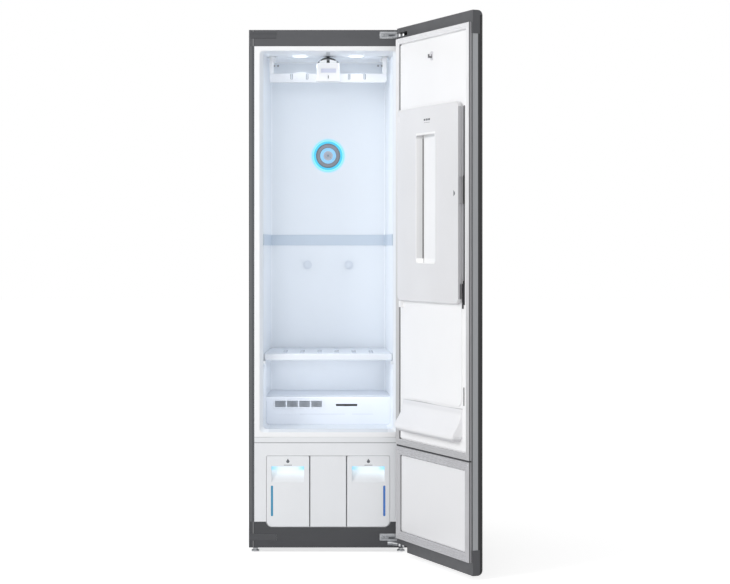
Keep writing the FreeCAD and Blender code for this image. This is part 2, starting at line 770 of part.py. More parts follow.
def drive_cover():
    """White block at the middle of the bar, with a shallow front window."""
    z0 = bar_z + 3.0 + seam
    overhang = 14.0
    window_half, window_low, window_high = 29.0, 31.0, 50.0
    half_depth = hanger_bar_depth / 2 + overhang
    block = box(-drive_cover_half, drive_cover_half, hanger_y - half_depth, hanger_y + half_depth,
                z0, drive_cover_top)
    block = rounded(block, 5.0, along_z)
    y0 = hanger_y - half_depth
    block = block.cut(box(-window_half, window_half, y0 - 1, y0 + 6, z0 + window_low, z0 + window_high))
    return block.cut(box(-1.5, 1.5, y0 - 1, y0 + 4, z0 + 6, z0 + 26))


def drive_dome():
    """Chromed dome on the drive cover, with the stem that hangs it from the carriage."""
    z0 = drive_cover_top
    dome_r, dome_h, dome_half_depth = drive_cover_half - 1.0, 24.0, 25.0
    sphere_r = (dome_r ** 2 + dome_h ** 2) / (2 * dome_h)
    dome = Part.makeSphere(sphere_r, Vector(0, hanger_y, z0 + dome_h - sphere_r))
    dome = dome.common(Part.makeCylinder(dome_r, dome_h + 1, Vector(0, hanger_y, z0)))
    dome = dome.common(box(-dome_r, dome_r, hanger_y - dome_half_depth, hanger_y + dome_half_depth, z0,
                           z0 + dome_h + 1))
    return dome.fuse(rod(stem_r, (0, hanger_y, z0 + 2), (0, hanger_y, carriage_z)))


# ---------------------------------------------------------------- tanks and lower front
def lower_front_frame():
    """White frame round the tanks, with returns behind its edges and one parting groove."""
    z0, z1 = kick_top + seam, liner_bottom - seam
    depth = 20.0
    groove_drop, groove_depth, groove_width = 22.2, 1.2, 1.6
    plate = box(-flange_half, flange_half, front, front + flange_thickness, z0, z1)
    for side in (-1, 1):
        x0, x1 = sorted((side * flange_half, side * (flange_half - plastic_wall)))
        plate = plate.fuse(box(x0, x1, front, front + depth, z0, z1))
    plate = plate.fuse(box(-flange_half, flange_half, front, front + depth, z1 - plastic_wall, z1))
    hole = tank_outer + tank_gap
    opening = box(-hole, hole, front - 1, front + depth + 1, z0 - 1, tank_top + tank_gap)
    opening = rounded(opening, 5.0, along_y, lambda p: p.z > tank_top)
    plate = plate.cut(opening)
    groove_z = liner_bottom - groove_drop
    return plate.cut(box(-flange_half - 1, flange_half + 1, front - 1, front + groove_depth, groove_z,
                         groove_z + groove_width)).removeSplitter()


bay_room = 6.0               # behind the tanks


def bay_space(grow):
    z0, z1 = bay_floor - grow, tank_top + tank_gap + grow
    half = tank_outer + tank_gap + grow
    end = front + flange_thickness + seam + tank_depth + bay_room + grow
    space = box(-half, half, front + flange_thickness + fit_gap, end, z0, z1)
    return rounded(space, tank_corner + grow, along_y, lambda p: p.z < z0 + 1)


def tank_bay():
    """Housing behind the lower frame with a place for each tank."""
    bay = bay_space(plastic_wall).cut(bay_space(0).fuse(
        box(-half_w, half_w, front - 1, front + flange_thickness + fit_gap, 0, tank_top + 50)))
    front_gap = tank_outer + tank_gap
    bay = bay.cut(box(-front_gap, front_gap, front, front + flange_thickness + 1, bay_floor, tank_top))
    end = front + flange_thickness + tank_depth + bay_room + 1
    wall_start = 14.0
    for side in (-1, 1):
        x0, x1 = sorted((side * (cover_half + 1.0), side * (cover_half + 1.0 + plastic_wall)))
        bay = bay.fuse(box(x0, x1, front + wall_start, end, bay_floor - 0.5, tank_top + tank_gap + 0.5))
    leg_inset, leg_half = 40.0, 8.0
    for x in (-bay_outer + leg_inset, bay_outer - leg_inset):
        for y in (front + 60.0, front + tank_depth - 10.0):
            leg = box(x - leg_half, x + leg_half, y - leg_half, y + leg_half, deck_top + fit_gap,
                      bay_floor - 1)
            bay = bay.fuse(leg)
    return bay.removeSplitter()


def centre_cover():
    """Plain cover between the tanks, on lugs that reach back to the bay's walls."""
    lug_wall, lug_depth = 2.0, 30.0
    cover = box(-cover_half, cover_half, front, front + plastic_wall, tank_floor, tank_top)
    for side in (-1, 1):
        x0, x1 = sorted((side * cover_half, side * (cover_half - lug_wall)))
        cover = cover.fuse(box(x0, x1, front, front + lug_depth, tank_floor, tank_top))
    return cover.removeSplitter()


handle_recess_low = tank_top - handle_top - handle_height
panel_rise = 20.0            # of a tank's front panel above its container


def tank_shell(side, handle_start):
    """A tank: front panel with a scooped grip, container behind. side -1 is the left one."""
    x0 = tank_inner if side > 0 else -tank_outer
    x1 = x0 + tank_width
    outer_x = x1 if side > 0 else x0
    container_top = tank_top - panel_rise
    body = box(x0, x1, front, front + tank_depth, tank_floor, container_top)
    body = body.fuse(box(x0, x1, front, front + tank_front_wall, tank_floor, tank_top))
    body = body.removeSplitter()
    body = rounded(body, tank_corner, along_y, lambda p: abs(p.x - outer_x) < 1 and p.z < tank_floor + 1)
    body = rounded(body, tank_top_corner, along_y, lambda p: p.z > tank_top - 1)
    inside = box(x0 + tank_wall, x1 - tank_wall, front + tank_front_wall, front + tank_depth - tank_wall,
                 tank_floor + tank_wall, container_top + 1)
    inside = rounded(inside, tank_corner - tank_wall, along_y,
                     lambda p: abs(p.x - outer_x) < 5 and p.z < tank_floor + 5)
    body = body.cut(inside)
    grip_end = handle_start + handle_width
    grip_top = tank_top - handle_top
    wall = 2.5
    shield = [(handle_start - wall, front + 2, handle_recess_low - wall),
              (handle_start - wall, front + 2, grip_top + wall),
              (handle_start - wall, front + handle_depth + wall, grip_top + wall),
              (handle_start - wall, front + handle_depth + wall, grip_top - 4)]
    scoop = [(handle_start, front - 1, handle_recess_low - 2), (handle_start, front - 1, grip_top),
             (handle_start, front + handle_depth, grip_top),
             (handle_start, front + handle_depth, grip_top - 6)]
    body = body.fuse(prism(shield, (handle_width + 2 * wall, 0, 0)))
    body = body.cut(prism(scoop, (grip_end - handle_start, 0, 0)))
    return body.removeSplitter()


def window_place(side):
    """x of the window's middle, and the height of its low end."""
    return side * (tank_outer - window_inset), tank_floor + window_above_floor


def window_slot(side, gap, y0, y1):
    x, z = window_place(side)
    slot = box(x - window_width / 2 - gap, x + window_width / 2 + gap, y0, y1, z - gap,
               z + window_height + gap)
    return rounded(slot, window_width / 2 + gap - 0.05, along_y)


def tank_lid(side):
    """Lid on the container, with the filling hole at its middle."""
    x0 = tank_inner if side > 0 else -tank_outer
    x1 = x0 + tank_width
    z = tank_top - panel_rise
    y0, y1 = front + tank_front_wall + 1.0, front + tank_depth
    lid_height, collar_height, collar_wall = 8.0, 12.0, 4.0
    rim, front_rim = 12.0, 42.0
    spigot_inset, spigot_depth = 5.0, 3.0
    lid = box(x0 + 1, x1 - 1, y0, y1, z, z + lid_height)
    lid = lid.fuse(box(x0 + spigot_inset, x1 - spigot_inset, y0 + rim, y1 - spigot_inset,
                       z - spigot_depth, z + 1))
    x, y = (x0 + x1) / 2, y0 + 0.66 * (y1 - y0)
    collar_r = filler_r + collar_wall
    lid = lid.fuse(rod(collar_r, (x, y, z), (x, y, z + collar_height)))
    hole = rod(filler_r, (x, y, z - 5), (x, y, z + collar_height + 2))
    recess = box(x0 + rim, x1 - rim, y0 + front_rim, y1 - rim, z - 4, z + 5).cut(
        rod(collar_r, (x, y, z - 5), (x, y, z + collar_height + 2)))
    return lid.cut(recess).cut(hole)


# ---------------------------------------------------------------- door hinges
def hinge_plan_arm(z):
    """The arm of one hinge in plan: from the casing's front to the eye at the pivot."""
    root_y = front - hinge_root_stand
    root = Vector(arm_root_x, root_y, z)
    eye = Vector(pivot_x, pivot_y, z)
    run = eye.sub(root).normalize()
    side = Vector(-run.y, run.x, 0).multiply(arm_width / 2)
    points = [root.add(side), eye.add(side), eye.sub(side), root.sub(side)]
    arm = prism([(p.x, p.y, p.z) for p in points], (0, 0, arm_thickness))
    arm = arm.fuse(rod(hinge_eye_r, (pivot_x, pivot_y, z), (pivot_x, pivot_y, z + arm_thickness)))
    arm = arm.cut(box(0, half_w + 50, root_y, front + 50, z - 1, z + arm_thickness + 1))
    return arm.fuse(hinge_root(z, z + arm_thickness, front - 0.05))


def hinge_root(z0, z1, y1):
    """Flat block in front of the casing that joins the arm to its plate."""
    return box(arm_root_x - hinge_root_half, arm_root_x + hinge_root_half, front - hinge_root_stand, y1,
               z0, z1)


def hinge_plate(upper):
    """Plate of the right-hand hinge, let into its window."""
    x1 = half_w - hinge_plate_inset
    z0 = upper_plate_bottom if upper else lower_plate_bottom
    y0 = front - hinge_plate_stand
    plate = box(x1 - hinge_plate_length, x1, y0, y0 + plastic_wall, z0, z0 + hinge_plate_height)
    return rounded(plate, hinge_plate_corner, along_y)


def hinge_bracket(upper):
    """Plate, arm and pin; the lower arm sits below its plate and is joined by a link."""
    arm_z = upper_arm_z if upper else lower_arm_z
    weld_depth = front + 1.0
    bracket = hinge_plate(upper).fuse(hinge_plan_arm(arm_z))
    if upper:
        bracket = bracket.fuse(hinge_root(arm_z, arm_z + arm_thickness, weld_depth))
    else:
        weld_height = 8.0
        bracket = bracket.fuse(hinge_root(arm_z + 1, lower_plate_bottom + 1, front - 0.05))
        bracket = bracket.fuse(hinge_root(lower_plate_bottom, lower_plate_bottom + weld_height, weld_depth))
    pin_top = arm_z + arm_thickness + hinge_pin_length
    bracket = bracket.fuse(rod(hinge_pin_r, (pivot_x, pivot_y, arm_z), (pivot_x, pivot_y, pin_top)))
    return bracket.removeSplitter()


def screw(x, y, z, r=3.6, head=1.6):
    """Pan-head screw whose head stands in front of a plate at depth y."""
    face = rod(r, (x, y - head, z), (x, y, z))
    face = face.makeFillet(0.9, [e for e in face.Edges if e.CenterOfMass.y < y - head + 0.05
                                 and not isinstance(e.Curve, Part.Line)])
    return face.cut(box(x - r * 0.6, x + r * 0.6, y - head - 1, y - head + 0.7, z - 0.5, z + 0.5))


def hinge_screws():
    screws = []
    y = front - hinge_plate_stand - 0.02
    x0 = half_w - hinge_plate_inset - hinge_plate_length
    for z0 in (upper_plate_bottom, lower_plate_bottom):
        for step in hinge_screw_steps:
            screws.append(screw(x0 + step, y, z0 + hinge_plate_height / 2))
    return screws


def hinge_covers():
    """Blank covers at the left, where the hinges would go on a left-hung door."""
    return [mirrored(hinge_plate(upper)) for upper in (True, False)]


# ---------------------------------------------------------------- door
def door_blank():
    """The shut door as one slab, with its outer top and bottom edges rounded."""
    slab = box(-half_w, half_w, door_front, door_back, ground_gap, top)
    slab = rounded(slab, door_round, along_x, lambda p: p.y < door_front + 1)
    return slab


glass_low = ground_gap + glass_bottom_margin
glass_high = top - glass_top_margin


def door_glass():
    pane = box(-half_w, half_w, door_front - 1, glass_back, glass_low, glass_high)
    return door_blank().common(pane)


def door_backing_frame():
    """Black edging and sheet behind the glass."""
    y0, y1 = glass_back + 0.05, backing_back
    width = 10.0
    low_z, high_z = cap_bottom_top + 1, cap_top_bottom - 1
    free = box(-half_w, -half_w + width, y0, y1, glass_low, glass_high)
    hung = box(half_w - width, half_w, y0, y1, low_z, high_z)
    low = box(-half_w, half_w, y0, y1, low_z, low_z + width)
    high = box(-half_w, half_w, y0, y1, high_z - width, high_z)
    skin = box(-half_w, half_w, y0, y0 + sheet, low_z, high_z)
    frame = free.fuse([hung, low, high, skin]).common(door_blank())
    return frame.removeSplitter()


arm_room = 1.5               # above and below a hinge arm in its pocket


def hinge_pocket(upper):
    """Room in a door cap for the hinge arm, open to the inner face and the hinge side."""
    arm_z = upper_arm_z if upper else lower_arm_z
    x0 = arm_root_x - hinge_root_half - 10.0
    y0 = glass_back + fit_gap
    pocket_end = arm_z + arm_thickness + arm_room
    start = ground_gap - 1 if not upper else arm_z - arm_room
    return box(x0, half_w + 1, y0, front, start, pocket_end)


def door_cap(upper):
    """Dark end cap with a leg that runs down (or up) each edge of the door."""
    if upper:
        z0, z1 = cap_top_bottom, top
        leg0, leg1 = top - cap_side_height, top
    else:
        z0, z1 = ground_gap, cap_bottom_top
        leg0, leg1 = ground_gap, ground_gap + lower_cap_side_height
    cap = box(-half_w, half_w, glass_back + 0.05, door_back, z0, z1)
    if upper:
        cap = cap.fuse(box(-half_w, half_w, door_front, glass_back + 0.05, glass_high + 0.05, z1))
    else:
        cap = cap.fuse(box(-half_w, half_w, door_front, glass_back + 0.05, z0, glass_low - 0.05))
    for side in (-1, 1):
        x = side * half_w
        leg = box(min(x, x - side * door_edge), max(x, x - side * door_edge), backing_back + 0.05,
                  door_back, leg0, leg1)
        cap = cap.fuse(leg)
    cap = cap.common(door_blank())
    free_edge = box(-half_w - 1, -half_w + door_edge + 0.05, glass_back, backing_back + 0.05, glass_low,
                    glass_high + 0.05)
    cap = cap.cut(free_edge)
    wall, end_wall, hinge_block = 3.0, 6.0, 95.0
    inner0, inner1 = (z0 - 1, z1 - end_wall) if upper else (z0 + end_wall, z1 + 1)
    hollow = box(-half_w + door_edge, half_w - door_edge - hinge_block, glass_back + wall, door_back - wall,
                 inner0, inner1)
    cap = cap.cut(hollow)
    cap = cap.cut(hinge_pocket(upper))
    arm_z = upper_arm_z if upper else lower_arm_z
    bore_top = arm_z + arm_thickness + hinge_pin_length + 1.0
    bore = rod(hinge_pin_r + bush_wall + fit_gap, (pivot_x, pivot_y, arm_z), (pivot_x, pivot_y, bore_top))
    return cap.cut(bore).removeSplitter()


def hinge_bush(upper):
    """Steel bush in the cap that turns on the hinge pin."""
    arm_z = upper_arm_z if upper else lower_arm_z
    z0 = arm_z + arm_thickness + arm_room
    z1 = arm_z + arm_thickness + hinge_pin_length + 0.5
    bush = rod(hinge_pin_r + bush_wall, (pivot_x, pivot_y, z0), (pivot_x, pivot_y, z1))
    return bush.cut(rod(hinge_pin_r + running, (pivot_x, pivot_y, z0 - 1), (pivot_x, pivot_y, z1 + 1)))


def door_side_profiles():
    z0 = ground_gap + lower_cap_side_height + seam
    z1 = top - cap_side_height - seam
    profiles = []
    for side in (-1, 1):
        x = side * half_w
        bar = box(min(x, x - side * door_edge), max(x, x - side * door_edge), backing_back + 0.05,
                  door_back, z0, z1)
        bar = rounded(bar, 1.5, along_z, lambda p: abs(p.x - x) < 0.1 and p.y > door_back - 0.1)
        profiles.append(bar)
    return profiles


def ring_plate(x_half, z0, z1, width, y0, y1, corner):
    outer = rounded(box(-x_half, x_half, y0, y1, z0, z1), corner, along_y)
    inner = box(-x_half + width, x_half - width, y0 - 1, y1 + 1, z0 + width, z1 - width)
    return outer.cut(rounded(inner, max(corner - width, 2.0), along_y))


gasket_half = half_w - door_edge - fit_gap
upper_gasket_low = door_split + door_split_gap
upper_gasket_high = cap_top_bottom + 3.0
lower_gasket_low = cap_bottom_top - 0.5
lower_gasket_high = door_split - door_split_gap


def gasket(z0, z1, width):
    """Soft ring: a foot on the door and a rounded bulb that meets the casing."""
    y0 = door_back + fit_gap
    y1 = door_back + gasket_stand
    foot_height, foot_corner = 5.0, 6.0
    foot = ring_plate(gasket_half, z0, z1, width, y0, y0 + foot_height, foot_corner)
    bulb_inset, bulb_corner = 4.0, 4.0
    bulb = ring_plate(gasket_half - bulb_inset, z0 + bulb_inset, z1 - bulb_inset,
                      width - 2 * bulb_inset, y0 + 1, y1, bulb_corner)
    bulb = bulb.makeFillet(2.5, [e for e in edges_along(bulb, along_z) + edges_along(bulb, along_x)
                                 if e.CenterOfMass.y > y1 - 0.1])
    return foot.fuse(bulb)


def raised_panel(x_half, z0, z1, seat_z0, seat_z1, seat_half, plane):
    """A formed inner panel: a flat seat with a raised, hollow field."""
    seat_thickness, field_corner, field_round, wall = 2.0, 8.0, 2.0, 3.0
    seat = box(-seat_half, seat_half, door_back - seat_thickness, door_back, seat_z0, seat_z1)
    field = box(-x_half, x_half, door_back - seat_thickness, plane, z0, z1)
    field = rounded(field, field_corner, along_y)
    field = field.makeFillet(field_round, [e for e in field.Edges if e.CenterOfMass.y > plane - 0.1])
    panel = seat.fuse(field)
    return panel.cut(box(-x_half + wall, x_half - wall, door_back - seat_thickness - 1, plane - plastic_wall,
                         z0 + wall, z1 - wall))


def door_liner_upper():
    edge = gasket_width + liner_gap
    panel = raised_panel(gasket_half - edge, upper_gasket_low + edge, upper_gasket_high - edge,
                         upper_gasket_low, cap_top_bottom - seam, gasket_half, liner_plane)
    return panel.removeSplitter()


def door_liner_lower():
    edge = lower_gasket_width + liner_gap / 2
    panel = raised_panel(gasket_half - edge, lower_gasket_low + edge, lower_gasket_high - edge,
                         cap_bottom_top + seam, lower_gasket_high + 2.0, gasket_half, liner_plane - 1.0)
    return panel.removeSplitter()


def door_foam():
    """Insulating slab between the glass backing and the inner panels."""
    return box(-half_w + door_edge + 0.5, half_w - door_edge - 0.5, glass_back + 1.3, door_back - 2.05,
               cap_bottom_top + 11.5, cap_top_bottom - 11.5)


# ---------------------------------------------------------------- fittings on the door
press_free = -(half_w - press_free_inset)
press_hung = half_w - press_hinge_inset
press_y0 = liner_plane + backing_thickness + 0.5
press_y1 = press_y0 + press_thickness
press_top = press_bottom + press_height
press_axis = (press_hung - press_hinge_round, press_y0 + press_hinge_round)
backing_half = half_w - backing_inset


def press_backing():
    """Flat panel behind and below the press, rounded at its lower corners, with hinge lugs."""
    y0, y1 = liner_plane + fit_gap, liner_plane + backing_thickness
    lug_length, lug_overhang, corner = 14.0, 2.0, 30.0
    backing_top = press_top - backing_drop
    panel = box(-backing_half, backing_half, y0, y1, backing_bottom, backing_top)
    panel = rounded(panel, corner, along_y, lambda p: p.z < backing_bottom + 1)
    lug_end = press_hung + lug_overhang
    for z0, z1 in hinge_lugs():
        panel = panel.fuse(box(press_hung - lug_length, lug_end, y1 - 1, press_axis[1] + 5.0, z0, z1))
    x, y = press_axis
    panel = panel.fuse(box(backing_half - corner, lug_end, y0, y1, press_bottom, backing_top))
    return panel.cut(rod(press_pin_r + running, (x, y, press_bottom - 40), (x, y, press_top + 40)))


def hinge_lugs():
    lug = 24.0
    upper_end = press_top - backing_drop - 1.0
    return ((press_bottom - lug - 1.0, press_bottom - 1.0), (upper_end - lug, upper_end))


def grip_block(grow, y0, y1):
    z0 = press_bottom + grip_bottom
    x0 = press_free + grip_from_free
    block = box(x0 - grow, x0 + grip_width + grow, y0, y1, z0 - grow, z0 + grip_height + grow)
    return rounded(block, grip_corner, along_y)


def press_board(shrink):
    """The rounded board, shrunk on all sides by a wall."""
    board = box(press_free + shrink, press_hung - shrink, press_y0 + shrink, press_y1 - shrink,
                press_bottom + shrink, press_top - shrink)
    return rounded(board, press_corner - shrink, along_y)


def press_voids(grow):
    """Window for the grip insert, rooms for the two hinge lugs, and the latch's slot."""
    voids = [grip_block(grow, press_y0 - 1, press_y1 + 1)]
    lug_room = 20.0
    for low, high in hinge_lugs():
        voids.append(box(press_hung - lug_room - grow, press_hung + lug_room, press_y0 - 1, press_y1 + 1,
                         low - 1.0 - grow, high + 1.0 + grow))
    z0 = press_bottom + latch_bottom
    voids.append(box(press_free - 1, press_free + latch_slot_depth + grow, press_y0 + latch_wall - grow,
                     press_y1 - latch_wall + grow, z0 - 1 - grow, z0 + latch_height + 1 + grow))
    return Part.makeCompound(voids)


def press_panel():
    """Trouser press: a hollow rounded board with a tall window, hung on two pins."""
    board = press_board(0)
    board = board.makeFillet(press_hinge_round,
                             [e for e in board.Edges if e.CenterOfMass.y < press_y0 + 0.1])
    board = board.makeFillet(4.0, [e for e in board.Edges if e.CenterOfMass.y > press_y1 - 0.1])
    board = board.cut(press_voids(0))
    board = board.cut(press_board(press_wall).cut(press_voids(press_wall)))
    x, y = press_axis
    (low0, high0), (low1, high1) = hinge_lugs()
    pin_hold = 10.0
    board = board.fuse(rod(press_pin_r, (x, y, low0 + 2), (x, y, high0 + 1 + pin_hold)))
    return board.fuse(rod(press_pin_r, (x, y, low1 - 1 - pin_hold), (x, y, high1 + 1 + pin_hold)))


def press_grip():
    """White insert: a gentle slope leads the fingers down to a slot beside a steep wall."""
    block = grip_block(-0.1, press_y0 + 1.0, press_y1 + 0.5)
    x_low = press_free + grip_from_free + grip_rim
    x_high = press_free + grip_from_free + grip_width - grip_rim
    slot_high = x_high - grip_steep_wall
    slot_low = slot_high - grip_slot
    plan = [(x_high, press_y1 + 1), (x_high, press_y1), (slot_high, press_y0 + 2), (slot_high, press_y0 - 1),
            (slot_low, press_y0 - 1), (slot_low, press_y1 - grip_lip_depth), (x_low, press_y1 + 0.5),
            (x_low, press_y1 + 1)]
    z0 = press_bottom + grip_bottom + grip_rim
    height = grip_height - 2 * grip_rim
    scoop = prism([(x, y, z0) for x, y in plan], (0, 0, height))
    bounds = box(x_low - 1, x_high + 1, press_y0 - 2, press_y1 + 2, z0, z0 + height)
    return block.cut(scoop.common(rounded(bounds, grip_corner - grip_rim, along_y)))


def press_latch():
    """Dark push latch let into the press's free edge."""
    z0 = press_bottom + latch_bottom
    latch = box(press_free - 2.0, press_free + 6.0, press_y0 + latch_wall + seam,
                press_y1 - latch_wall - seam, z0, z0 + latch_height)
    return rounded(latch, 2.5, along_y, lambda p: p.x < press_free)


def drip_scoop():
    """White chute that flares out of the door towards its foot and keeps drips off the gasket."""
    y0 = liner_plane + fit_gap
    wall = plastic_wall
    lower_corner = 18.0
    high = backing_bottom - seam - 6.0
    outer = [(-scoop_half, y0, scoop_bottom), (-scoop_half, y0, high), (-scoop_half, y0 + 3.5, high),
             (-scoop_half, y0 + 12.0, high - 40.0), (-scoop_half, y0 + scoop_reach, scoop_bottom + 6.0),
             (-scoop_half, y0 + scoop_reach - 4.0, scoop_bottom)]
    inner = [(-scoop_half + wall, y0 - 1, scoop_bottom + wall), (-scoop_half + wall, y0 - 1, high - 8.0),
             (-scoop_half + wall, y0 + 1.0, high - 8.0), (-scoop_half + wall, y0 + 12.0 - wall, high - 42.0),
             (-scoop_half + wall, y0 + scoop_reach - wall - 4, scoop_bottom + wall)]
    scoop = prism(outer, (2 * scoop_half, 0, 0))
    corner = box(-scoop_half - 1, scoop_half + 1, y0 - 1, y0 + scoop_reach + 1, scoop_bottom - 1, high + 1)
    mask = rounded(box(-scoop_half, scoop_half, y0 - 1, y0 + scoop_reach + 1, scoop_bottom, high + 40.0),
                   lower_corner, along_y, lambda p: p.z < scoop_bottom + 1)
    scoop = scoop.common(mask).common(corner)
    hollow = prism(inner, (2 * (scoop_half - wall), 0, 0))
    bounds = box(-scoop_half + wall, scoop_half - wall, y0 - 2, y0 + scoop_reach, scoop_bottom + wall,
                 high + 40.0)
    bounds = rounded(bounds, lower_corner - 2.0, along_y, lambda p: p.z < scoop_bottom + wall + 1)
    return scoop.cut(hollow.common(bounds))


def door_hook():
    """Small hook near the top of the door."""
    z = press_top + door_hook_rise
    y = liner_plane + fit_gap
    plate_half, plate_height, peg_half, reach = 9.0, 32.0, 4.0, 16.0
    plate = box(-plate_half, plate_half, y, y + 3.0, z - plate_height / 2, z + plate_height / 2)
    plate = rounded(plate, 6.0, along_y)
    peg = box(-peg_half, peg_half, y + 2, y + reach, z - 8, z - 2)
    return plate.fuse(peg).fuse(box(-peg_half, peg_half, y + 12, y + reach, z - 8, z + 6)).removeSplitter()


# ---------------------------------------------------------------- machine room
rear_room = front + flange_thickness + tank_depth + bay_room + 2 * plastic_wall
duct_x0 = -inner_half + machine_clear
duct_y0 = rear_room + machine_clear + 4
duct_y1 = back - 3 * sheet - machine_clear
duct_x1 = duct_x0 + duct_width
wheel_x = (duct_x0 + duct_x1) / 2
wheel_z = deck_top + duct_height / 2
wheel_y = duct_y1 - 100.0
exchanger_top = deck_top + duct_height - 15.0


def blower_housing():
    """Air duct on the base tray with the blower motor on its rear wall."""
    z0 = deck_top + fit_gap
    duct = box(duct_x0, duct_x1, duct_y0, duct_y1, z0, deck_top + duct_height)
    duct = duct.cut(box(duct_x0 + duct_wall, duct_x1 - duct_wall, duct_y0 + duct_wall, duct_y1 - duct_wall,
                        z0 + duct_wall, deck_top + duct_height + 1))
    motor_y = wheel_y + wheel_width / 2 + 2.0
    motor_r, inlet_rim = 34.0, 12.0
    motor = rod(motor_r, (wheel_x, motor_y, wheel_z), (wheel_x, duct_y1 - duct_wall + 1, wheel_z))
    duct = duct.fuse(motor)
    bore_end = motor_y + 30.0
    duct = duct.cut(rod(shaft_r + running, (wheel_x, motor_y - 1, wheel_z), (wheel_x, bore_end, wheel_z)))
    divider = box(duct_x0 + 1, duct_x1 - 1, wheel_y - wheel_width / 2 - 8.0, wheel_y - wheel_width / 2 - 5.0,
                  z0 + 1, deck_top + duct_height)
    divider = divider.cut(rod(wheel_r - inlet_rim, (wheel_x, duct_y0, wheel_z), (wheel_x, duct_y1, wheel_z)))
    return duct.fuse(divider).removeSplitter()


def blower_wheel():
    blade_depth, hub_r = 11.0, 12.0
    y0, y1 = wheel_y - wheel_width / 2, wheel_y + wheel_width / 2
    wheel = rod(wheel_r, (wheel_x, y1 - 2.5, wheel_z), (wheel_x, y1, wheel_z))
    rim = rod(wheel_r, (wheel_x, y0, wheel_z), (wheel_x, y0 + 3, wheel_z))
    rim = rim.cut(rod(wheel_r - blade_depth, (wheel_x, y0 - 1, wheel_z), (wheel_x, y0 + 4, wheel_z)))
    wheel = wheel.fuse(rim)
    for k in range(wheel_blades):
        blade = box(wheel_x - 0.8, wheel_x + 0.8, y0 + 1, y1 - 1, wheel_z + wheel_r - blade_depth + 0.5,
                    wheel_z + wheel_r - 0.5)
        blade.rotate(Vector(wheel_x, 0, wheel_z), Vector(0, 1, 0), k * 360.0 / wheel_blades)
        wheel = wheel.fuse(blade)
    wheel = wheel.fuse(rod(hub_r, (wheel_x, y0 + 12, wheel_z), (wheel_x, y1, wheel_z)))
    return wheel.fuse(rod(shaft_r, (wheel_x, y0 + 6, wheel_z), (wheel_x, y1 + 28, wheel_z)))


def exchanger(y0, y1):
    """Finned coil: upright fins on six tubes, standing in the duct."""
    x0, x1 = duct_x0 + duct_wall + 8, duct_x1 - duct_wall - 8
    z0 = deck_top + duct_wall + 0.1
    fins, fin_thickness = 18, 1.5
    first_tube, tube_pitch, tube_inset, tube_overhang = 35.0, 60.0, 10.0, 6.0
    pitch = (x1 - x0 - fin_thickness) / (fins - 1)
    plates = [box(x0 + k * pitch, x0 + k * pitch + fin_thickness, y0, y1, z0, exchanger_top)
              for k in range(fins)]
    coil = plates[0].fuse(plates[1:])
    for row in range(3):
        z = z0 + first_tube + row * tube_pitch
        for y in (y0 + tube_inset, y1 - tube_inset):
            coil = coil.fuse(rod(pipe_r, (x0 - tube_overhang, y, z), (x1 + tube_overhang, y, z)))
    return coil


def heat_exchangers():
    usable = wheel_y - wheel_width / 2 - 8.0 - duct_y0 - duct_wall
    depth = min(34.0, usable / 2 - 6)
    y = duct_y0 + duct_wall + 4
    return exchanger(y, y + depth), exchanger(y + depth + 4, y + 2 * depth + 4)


compressor_x = duct_x1 + machine_clear + compressor_r + 22
compressor_y = back - 3 * sheet - machine_clear - compressor_r - 12
mount_height = 12.0


def compressor():
    """Sealed can on a foot plate and four rubber mounts."""
    x, y = compressor_x, compressor_y
    z0 = deck_top + mount_height
    mount_r, mount_inset = 8.0, 12.0
    can = rod(compressor_r, (x, y, z0 + 2), (x, y, z0 + compressor_height))
    can = can.makeFillet(22.0, [e for e in can.Edges if not isinstance(e.Curve, Part.Line)
                                and (e.CenterOfMass.z > z0 + compressor_height - 1)])
    plate = box(x - compressor_r, x + compressor_r, y - compressor_r, y + compressor_r, z0, z0 + 3)
    plate = rounded(plate, 10.0, along_z)
    body = can.fuse(plate)
    mounts = []
    for sx in (-1, 1):
        for sy in (-1, 1):
            mount_x = x + sx * (compressor_r - mount_inset)
            mount_y = y + sy * (compressor_r - mount_inset)
            mounts.append(rod(mount_r, (mount_x, mount_y, deck_top + fit_gap), (mount_x, mount_y, z0)))
    return [body] + mounts


def refrigerant_pipes():
    """Two copper tubes between the compressor and the coils."""
    runs = []
    x, y = compressor_x, compressor_y
    z_can = deck_top + mount_height + compressor_height
    first, second = heat_exchangers()
    for shift, coil, rise in ((-18.0, first, 26.0), (18.0, second, 12.0)):
        over = deck_top + duct_height + rise
        b = coil.BoundBox
        end_y = (b.YMin + b.YMax) / 2
        coil_x = b.XMax - 22.0
        runs.append(tube_run(pipe_r, [(x + shift, y, z_can + 0.1), (x + shift, y, over),
                                      (x + shift, end_y, over), (coil_x, end_y, over),
                                      (coil_x, end_y, exchanger_top + 0.1)]))
    return runs


steam_x0 = duct_x1 + machine_clear + 18
steam_y0 = rear_room + machine_clear + 4
boiler_width, boiler_depth, boiler_height = 130.0, 78.0, 95.0
boiler_leg = 15.0


def steam_generator():
    """Cast boiler on four short legs."""
    corner, leg_r, leg_inset = 12.0, 5.0, 14.0
    z0 = deck_top + boiler_leg
    tank = box(steam_x0, steam_x0 + boiler_width, steam_y0, steam_y0 + boiler_depth, z0, z0 + boiler_height)
    tank = rounded(tank, corner, along_z)
    for dx in (leg_inset, boiler_width - leg_inset):
        for dy in (leg_inset, boiler_depth - leg_inset):
            x, y = steam_x0 + dx, steam_y0 + dy
            tank = tank.fuse(rod(leg_r, (x, y, deck_top + fit_gap), (x, y, z0 + 2)))
    return tank


